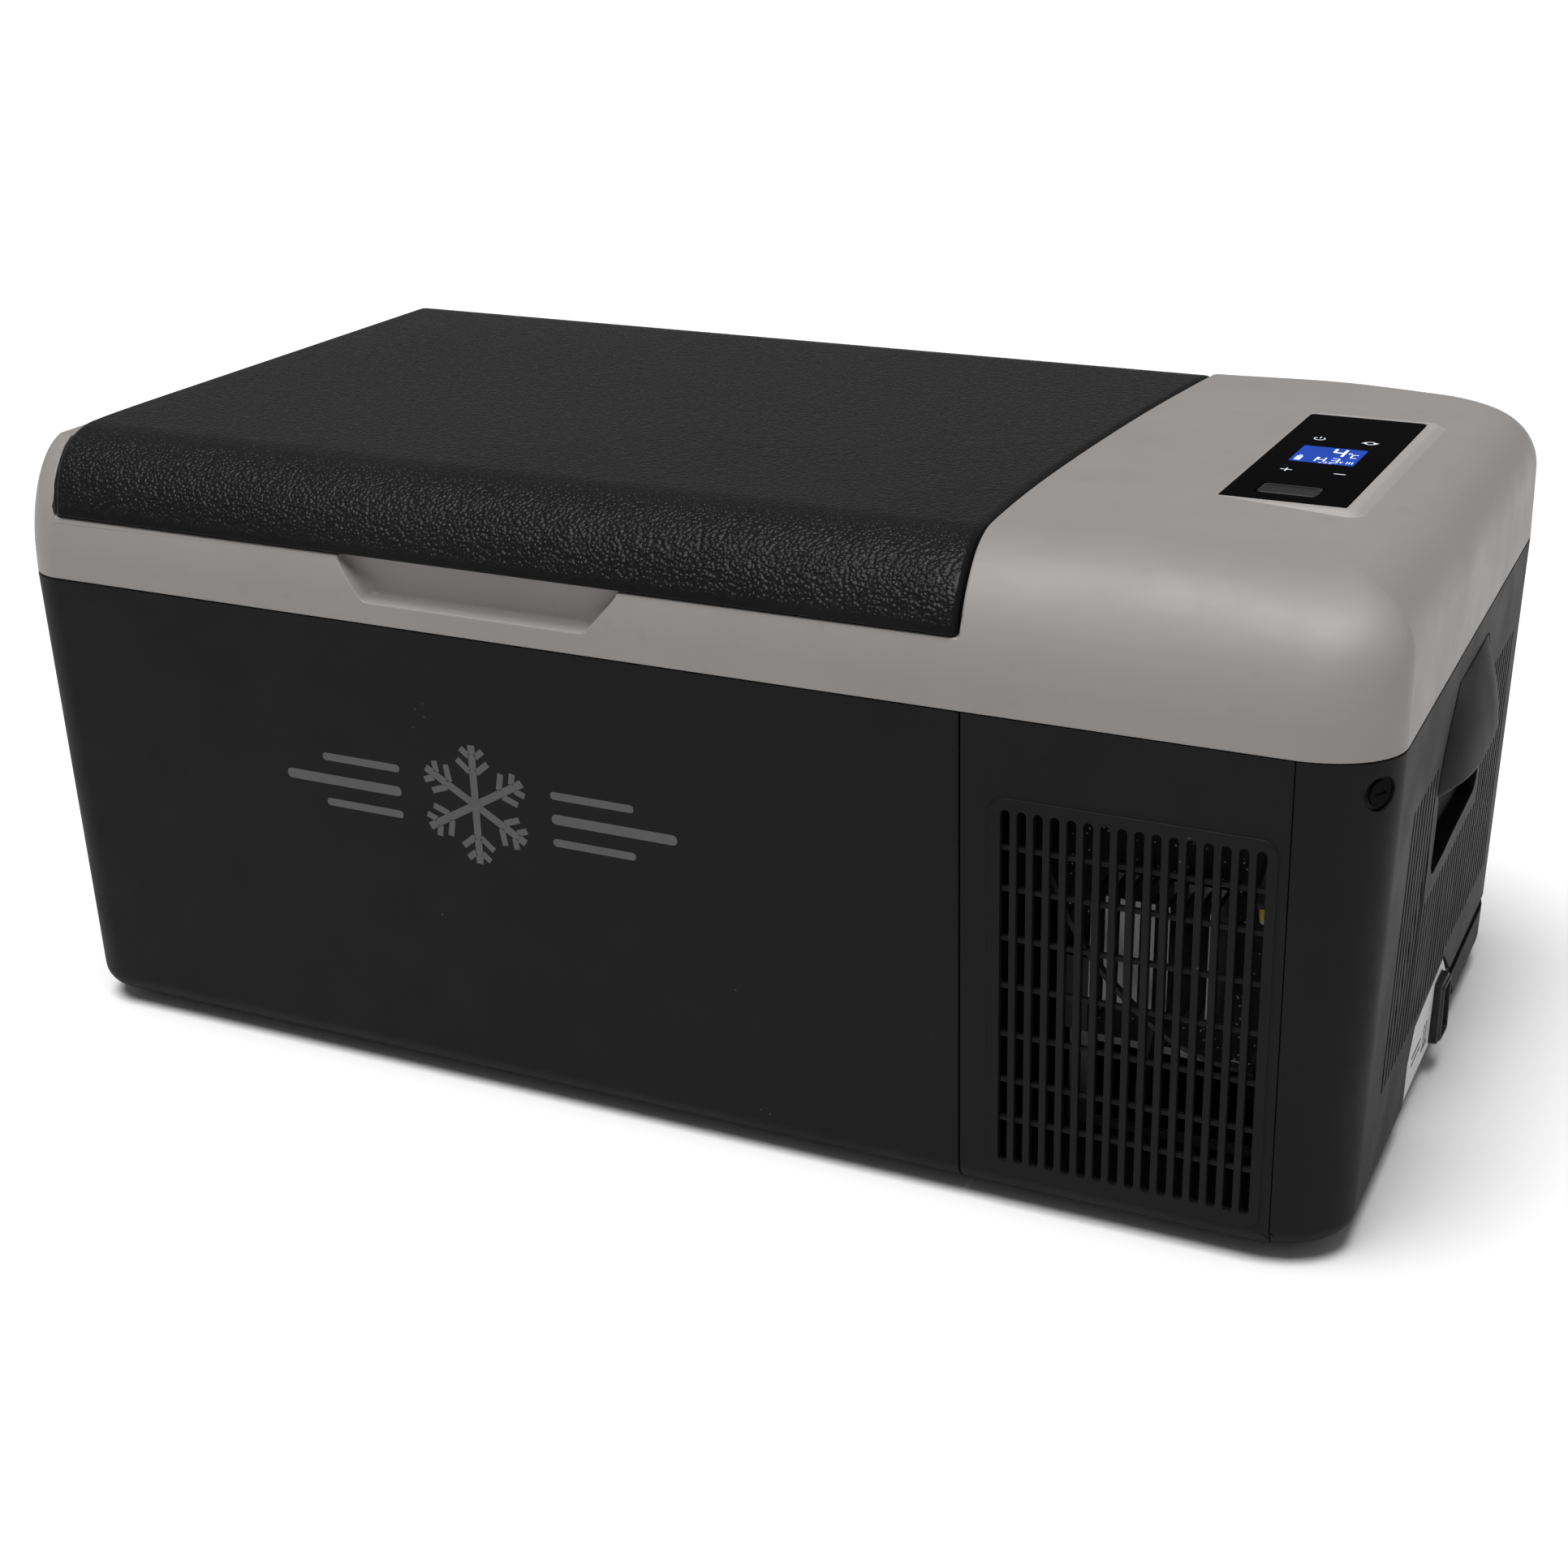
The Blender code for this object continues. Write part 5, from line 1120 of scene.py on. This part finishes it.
def make_lid():
    """Grained lid shell with a hinge knuckle between each pair of lugs."""
    shell = lid_skin()
    for i, x in enumerate(HINGE_XS):
        for sign in (-1, 1):
            relief = barrel(f"lug_relief_{i}_{sign}", x + sign * LUG_OFFSET, BARREL_R + BARREL_ROOM,
                            LUG_WIDTH + 2 * GAP)
            cut(shell, relief)
        join(shell, barrel(f"knuckle_{i}", x, BARREL_R, KNUCKLE_WIDTH))
        cut(shell, barrel(f"knuckle_bore_{i}", x, PIN_R + GAP, BORE_LENGTH, 24))
    soften(shell, 0.6, 3, 55)
    grain = shell.data.attributes.new("grain", "FLOAT", "POINT")
    for vert, value in zip(shell.data.vertices, grain.data):
        x, y, z = vert.co / MM
        side = min(lid_right(y) - x, x - lid_left(y))
        value.value = smooth((side - 1.5) / 2.0) * smooth((z - LID_BASE_Z - 1.5) / 2.5)
    show(shell, "lid", FINISHES["lid_black"], "lid_shell", slot="lid_black")


def make_gasket():
    """Frame-shaped seal round the tub's mouth, rounded where it meets the frame."""
    sides = GASKET_LOW.x, GASKET_HIGH.x, GASKET_LOW.y, GASKET_HIGH.y
    z0, z1 = GASKET_LOW.z, GASKET_HIGH.z
    outer = [(z0, 1.4), (z0 + 0.5, 0.5), (z0 + 1.5, 0.0), (z1, 0.0)]
    section = outer + [(z, SEAL_WIDTH - inset) for z, inset in reversed(outer)]
    bm = bmesh.new()
    rings = [even_ring(z, *sides, inset, SEAL_CORNER - inset, 10) for z, inset in section]
    rows = [[bm.verts.new(point) for point in points] for points in rings]
    skin(bm, rows + rows[:1], capped=False)
    gasket = place("lid_seal", finish_mesh(bm, "lid_seal"))
    soften(gasket, 0)
    show(gasket, "lid", FINISHES["rubber"], "lid_gasket", slot="rubber")


def plug_outline(grow, corner):
    """Plan of the plug under the lid, grown outwards."""
    low, high = TUB_LOW + Vector((PLUG_INSET, PLUG_INSET, 0)), TUB_HIGH - Vector((PLUG_INSET, PLUG_INSET, 0))
    return rounded_outline(low.x - grow, high.x + grow, low.y - grow, high.y + grow, corner)


def make_lid_lining():
    """Inner face of the lid: a plate with a plug that reaches into the tub, and the seal's groove."""
    base = cad_box("lid_liner")[0].z
    plan = lid_plan(LID_WALL + 2 * GAP, LID_FRONT_Y + LINING_FRONT, LINING_REAR_Y, 40)
    liner = prism("lid_lining", [plan], "Z", LID_BASE_Z + 0.4, LINING_Z)
    sides = TUB_LOW.x + PLUG_INSET, TUB_HIGH.x - PLUG_INSET, TUB_LOW.y + PLUG_INSET, TUB_HIGH.y - PLUG_INSET
    levels = (base, 2.6), (base + 0.35, 1.5), (base + 1.2, 0.5), (base + 2.6, 0.0), (226, 0.0)
    plug = [even_ring(z, *sides, inset, PLUG_CORNER - inset * 0.6, 12) for z, inset in levels]
    join(liner, loft("lining_plug", plug))
    groove = prism("seal_groove", [plug_outline(GROOVE_OUT + GAP, SEAL_CORNER + GAP)], "Z", 210, 225.3)
    middle = plug_outline(GROOVE_OUT - SEAL_WIDTH - GAP, SEAL_CORNER - SEAL_WIDTH)
    cut(groove, prism("seal_groove_middle", [middle], "Z", 200, 240))
    bake(groove)
    cut(liner, groove)
    pressed = plug_outline(-22, 10), plug_outline(-24, 8)
    cut(liner, prism("pressed_panel", [pressed[0]], "Z", base - 1, base + 1.2, [pressed[1]]))
    cut(liner, prism("lining_room", [plug_outline(-3, 10)], "Z", base + 2.5, 240))
    soften(liner, 0.5, 2, 40)
    show(liner, "lid", FINISHES["liner_grey"], "lid_liner", slot="liner_grey")


# ---------------------------------------------------------------- display
def flat_signs(name, outlines, z, thick, finish, slot=None):
    """Thin printed or lit shapes on a level face."""
    show(prism(name, outlines, "Z", z, z + thick), "cabinet", FINISHES[finish], slot=slot)


def arc(cx, cy, radius, width, start, end, steps=24):
    """A flat arc band as one outline."""
    outer, inner = [], []
    for k in range(steps + 1):
        a = math.radians(start + (end - start) * k / steps)
        outer.append((cx + (radius + width / 2) * math.cos(a), cy + (radius + width / 2) * math.sin(a)))
        inner.append((cx + (radius - width / 2) * math.cos(a), cy + (radius - width / 2) * math.sin(a)))
    return outer + inner[::-1]


def bar(x0, y0, x1, y1, width):
    """A straight stroke as one outline."""
    along = Vector((x1 - x0, y1 - y0)).normalized()
    side = Vector((-along.y, along.x)) * width / 2
    a, b = Vector((x0, y0)), Vector((x1, y1))
    return [tuple(p) for p in (a - side, b - side, b + side, a + side)]


SEGMENTS = {"1": "bc", "3": "abgcd", "4": "fgbc", "C": "afed"}


def digit(symbol, x, y, width, height, stroke):
    """Strokes of a seven-segment digit whose lower left corner is at x, y."""
    top, middle = y + height, y + height / 2
    ends = {"a": (x, top, x + width, top), "b": (x + width, middle, x + width, top),
            "c": (x + width, y, x + width, middle), "d": (x, y, x + width, y), "e": (x, y, x, middle),
            "f": (x, middle, x, top), "g": (x, middle, x + width, middle)}
    return [bar(*ends[key], stroke) for key in SEGMENTS[symbol]]


def screen_figures():
    """Temperature above, voltage below and a battery sign at the left, inside the display's outline."""
    left, top, low = SCREEN[0], SCREEN[3], SCREEN[3] - 22.0
    lit = digit("4", left + 13.3, top - 12.0, 4.0, 10.4, 1.1)
    lit.append(arc(left + 19.6, top - 6.8, 0.6, 0.4, 0, 359))
    lit += digit("C", left + 20.9, top - 12.8, 2.2, 4.6, 0.6)
    for symbol, x in (("1", 6.6), ("4", 9.9), ("3", 15.0)):
        lit += digit(symbol, left + x, low, 2.7, 6.2, 0.55)
    lit.append(bar(left + 13.9, low - 0.4, left + 13.9, low + 0.4, 0.7))
    lit.append(bar(left + 18.7, low + 2.4, left + 19.2, low + 0.2, 0.35))
    lit.append(bar(left + 19.2, low + 0.2, left + 19.7, low + 2.4, 0.35))
    for x in (21.4, 22.4, 23.4):
        lit.append(bar(left + x, low, left + x, low + 3.1, 0.4))
    for rise in (0.2, 1.8, 3.4, 5.0):
        lit.append(bar(left + 1.4, low + rise, left + 3.8, low + rise, 1.0))
    lit.append(bar(left + 2.0, low + 6.6, left + 3.2, low + 6.6, 0.8))
    for x in (11.2, 13.1, 15.0):
        lit.append(bar(left + x, low - 1.6, left + x + 1.3, low - 1.6, 0.5))
    return lit


def touch_signs():
    """Signs of the four touch fields: power, change over, plus and minus."""
    (px, py), (cx, cy), (ax, ay), (mx, my) = POWER_SIGN, CHANGE_SIGN, PLUS_SIGN, MINUS_SIGN
    signs = [arc(px, py, 2.1, 0.35, 125, 415), bar(px, py + 0.5, px, py + 3.1, 0.35)]
    signs += [arc(cx, cy, 2.0, 0.4, 20, 165), arc(cx, cy, 2.0, 0.4, 200, 345)]
    for way in (1, -1):
        signs.append([(cx + way * x, cy + way * y) for x, y in ((1.0, 0.6), (3.3, 0.8), (2.1, -1.0))])
    signs += [bar(ax - 2.2, ay, ax + 2.2, ay, 0.4), bar(ax, ay - 2.2, ax, ay - 0.2, 0.4)]
    return signs + [bar(ax, ay + 0.2, ax, ay + 2.2, 0.4), bar(mx - 2.2, my, mx + 2.2, my, 0.5)]


def make_display():
    """Touch glass with the lit display, its figures and the touch signs, and the USB cover in its window."""
    top = GLASS_HIGH.z
    outline = rounded_outline(GLASS_LOW.x, GLASS_HIGH.x, GLASS_LOW.y, GLASS_HIGH.y, 1.8)
    glass = prism("touch_panel", [outline], "Z", GLASS_LOW.z, top - SIGN_DEPTH)
    window = rounded_outline(FLAP_LOW.x - 0.4, FLAP_HIGH.x + 0.4, FLAP_LOW.y - 0.4, FLAP_HIGH.y + 0.4, 1.8)
    cut(glass, prism("flap_window", [window], "Z", 240, 260))
    soften(glass, 0.25)
    show(glass, "cabinet", FINISHES["glass_black"], "display_glass", slot="glass_black")
    screen = rounded_outline(*SCREEN, 0.4, 3)
    flat_signs("screen", [screen], top - SIGN_DEPTH, 0.04, "screen_blue", "screen_blue")
    flat_signs("screen_figures", screen_figures(), top - 0.08, 0.03, "sign_white")
    flat_signs("touch_signs", touch_signs(), top - SIGN_DEPTH, 0.05, "sign_white")
    make_flap()


def make_flap():
    """USB cover: a soft plug with a rolled edge and a finger ridge."""
    sides, z0, z1 = (FLAP_LOW.x, FLAP_HIGH.x, FLAP_LOW.y, FLAP_HIGH.y), FLAP_LOW.z, FLAP_HIGH.z
    levels = ((z0, 0.5), (z0 + 0.3, 0.1), (z1 - 0.5, 0.0), (z1 - 0.12, 0.15), (z1, 0.5), (z1, 1.6),
              (z1 - 0.35, 2.1))
    flap = loft("usb_flap_cover", [even_ring(z, *sides, inset, 2.0 - inset * 0.5, 8) for z, inset in levels])
    soften(flap, 0, angle=40)
    show(flap, "usb_flap", FINISHES["flap_black"], "usb_cover", slot="rubber")


# ---------------------------------------------------------------- print on the front
def make_print():
    """Generic snowflake sign between plain bars, printed on the front face."""
    cx, cz = PRINT_X, PRINT_Z
    strokes = []

    def spoke(root, angle, start, end, width):
        way = Vector((math.cos(angle), math.sin(angle)))
        strokes.append(bar(*(root + way * start), *(root + way * end), width))

    centre = Vector((cx, cz))
    for k in range(6):
        a = math.radians(60 * k + 30)
        spoke(centre, a, 2.6, PRINT_ARM, 3.2)
        for share, length in ((0.50, 9.0), (0.76, 6.5)):
            root = centre + Vector((math.cos(a), math.sin(a))) * PRINT_ARM * share
            for turn in (-50, 50):
                spoke(root, a + math.radians(turn), 1.9, length, 2.6)
    hub = [math.radians(60 * k) for k in range(6)]
    strokes.append([(cx + 2.9 * math.cos(a), cz + 2.9 * math.sin(a)) for a in hub])
    bars = (61, 27, -2.1, 2.1, 2.0), (52, 18, -11.4, -8.2, 1.5), (52, 18, 8.2, 11.4, 1.5)
    for side in (-1, 1):
        for x, half, low, high, corner in bars:
            middle = cx + side * x
            strokes.append(rounded_outline(middle - half, middle + half, cz + low, cz + high, corner, 5))
    bm = bmesh.new()
    for outline in strokes:
        skin(bm, [[bm.verts.new(p) for p in on_face(outline, -1, lift)] for lift in (0.0, 0.06)])
    show(place("front_print", finish_mesh(bm, "front_print")), "cabinet", FINISHES["print_grey"])


# ---------------------------------------------------------------- feet and carried-over nodes
def make_feet():
    """Four rubber feet with a grooved tread."""
    for tag in ("front_left", "rear_left", "front_right", "rear_right"):
        low, high = cad_box("foot_" + tag)
        r, top = (high.x - low.x) / 2, high.z
        profile = [(0, 0), (r - 3.4, 0), (r - 2.4, 0.2), (r - 1.8, 0.8), (r - 1.2, 1.4), (r - 1.3, 1.8),
                   (r - 0.8, 2.2), (r - 0.8, top - 1.2), (r, top - 1.0), (r, top), (0, top)]
        foot = turned("rubber_foot_" + tag, profile, ((low.x + high.x) / 2, (low.y + high.y) / 2, 0), "Z", 48)
        soften(foot, 0, angle=40)
        show(foot, "cabinet", FINISHES["rubber"], "foot_" + tag, slot="rubber")


def dress_nodes():
    """Give every CAD node that still shows the finish that its record slot names, except that the panel
    screws get a near-black painted shade for the shadow inside their recesses.
    """
    slots = {row["node"]: row["material_slot"] for row in frame["record"]["subparts"]}
    for name, node in frame["nodes"].items():
        finish = FINISHES[slots[name]]
        # panel screws: near-black painted shade in place of the shadow inside their recesses
        if name.startswith("panel_screw"):
            finish = FINISHES["screw_painted_shade"]
        if name in ("board_heat_sink", "board_bracket"):
            finish = FINISHES["sink_grey"]
        node.data.materials.clear()
        node.data.materials.append(finish)


# ---------------------------------------------------------------- room, light and camera
FLOOR_HALF, FLOOR_TONE, FLOOR_PATCH, WORLD_STRENGTH = 12.0, 0.86, 0.88, 0.20
SUN_FROM, SUN_STRENGTH, SUN_SPREAD = (-0.06, -0.20, 1.0), 3.80, 40.0
CAMERA_PLACE, CAMERA_LENS, SENSOR_WIDTH = (0.4375, -0.9199, 0.4972), 58.03, 36.0
CAMERA_AZIMUTH, CAMERA_ELEVATION, CAMERA_ROLL = 25.84, 21.94, -0.88


def make_stage():
    """Pale floor and an even white surrounding."""
    bm = bmesh.new()
    bmesh.ops.create_grid(bm, x_segments=8, y_segments=8, size=FLOOR_HALF)
    mesh = bpy.data.meshes.new("floor")
    bm.to_mesh(mesh)
    bm.free()
    floor = place("floor", mesh)
    paint = Finish("floor_white", (FLOOR_TONE,) * 3, 0.9, specular=0.0)
    paint.tint(paint.span(paint.noise(2.0), 0.3, 0.7), (FLOOR_PATCH,) * 3)
    floor.data.materials.append(paint.material)
    world = bpy.data.worlds.new("studio")
    world.use_nodes = True
    world.node_tree.nodes["Background"].inputs["Color"].default_value = (1.0, 1.0, 1.0, 1.0)
    world.node_tree.nodes["Background"].inputs["Strength"].default_value = WORLD_STRENGTH
    bpy.context.scene.world = world


def make_sun():
    """One wide, soft light from above and slightly in front."""
    light = bpy.data.lights.new("key_sun", "SUN")
    light.energy = SUN_STRENGTH
    light.angle = math.radians(SUN_SPREAD)
    sun = place("key_sun", light)
    sun.location = SUN_FROM
    sun.rotation_euler = (-Vector(SUN_FROM)).to_track_quat("-Z", "Y").to_euler()


def make_camera():
    """Camera set by its place, the way it faces and a slight roll."""
    data = bpy.data.cameras.new("camera")
    data.sensor_width = SENSOR_WIDTH
    data.lens = CAMERA_LENS
    camera = place("camera", data)
    camera.location = CAMERA_PLACE
    azimuth, elevation, roll = map(math.radians, (CAMERA_AZIMUTH, CAMERA_ELEVATION, CAMERA_ROLL))
    level = math.cos(elevation)
    forward = Vector((-math.sin(azimuth) * level, math.cos(azimuth) * level, -math.sin(elevation)))
    facing = forward.to_track_quat("-Z", "Y").to_matrix()
    camera.rotation_euler = (facing @ Matrix.Rotation(roll, 3, "Z")).to_euler()
    bpy.context.scene.camera = camera


FINISHES = make_finishes()
make_stage()
make_camera()
make_sun()
bpy.context.scene.view_settings.view_transform = "Standard"

dress_nodes()
make_tub_housing()
make_grille_panel("front_grille_panel", -1)
make_grille_panel("rear_grille_panel", 1)
make_side_panel()
make_base_tray()
make_label()
make_inlet()
make_top_frame()
make_bezel()
make_tub()
make_lid()
make_lid_lining()
make_gasket()
make_display()
make_print()
make_feet()
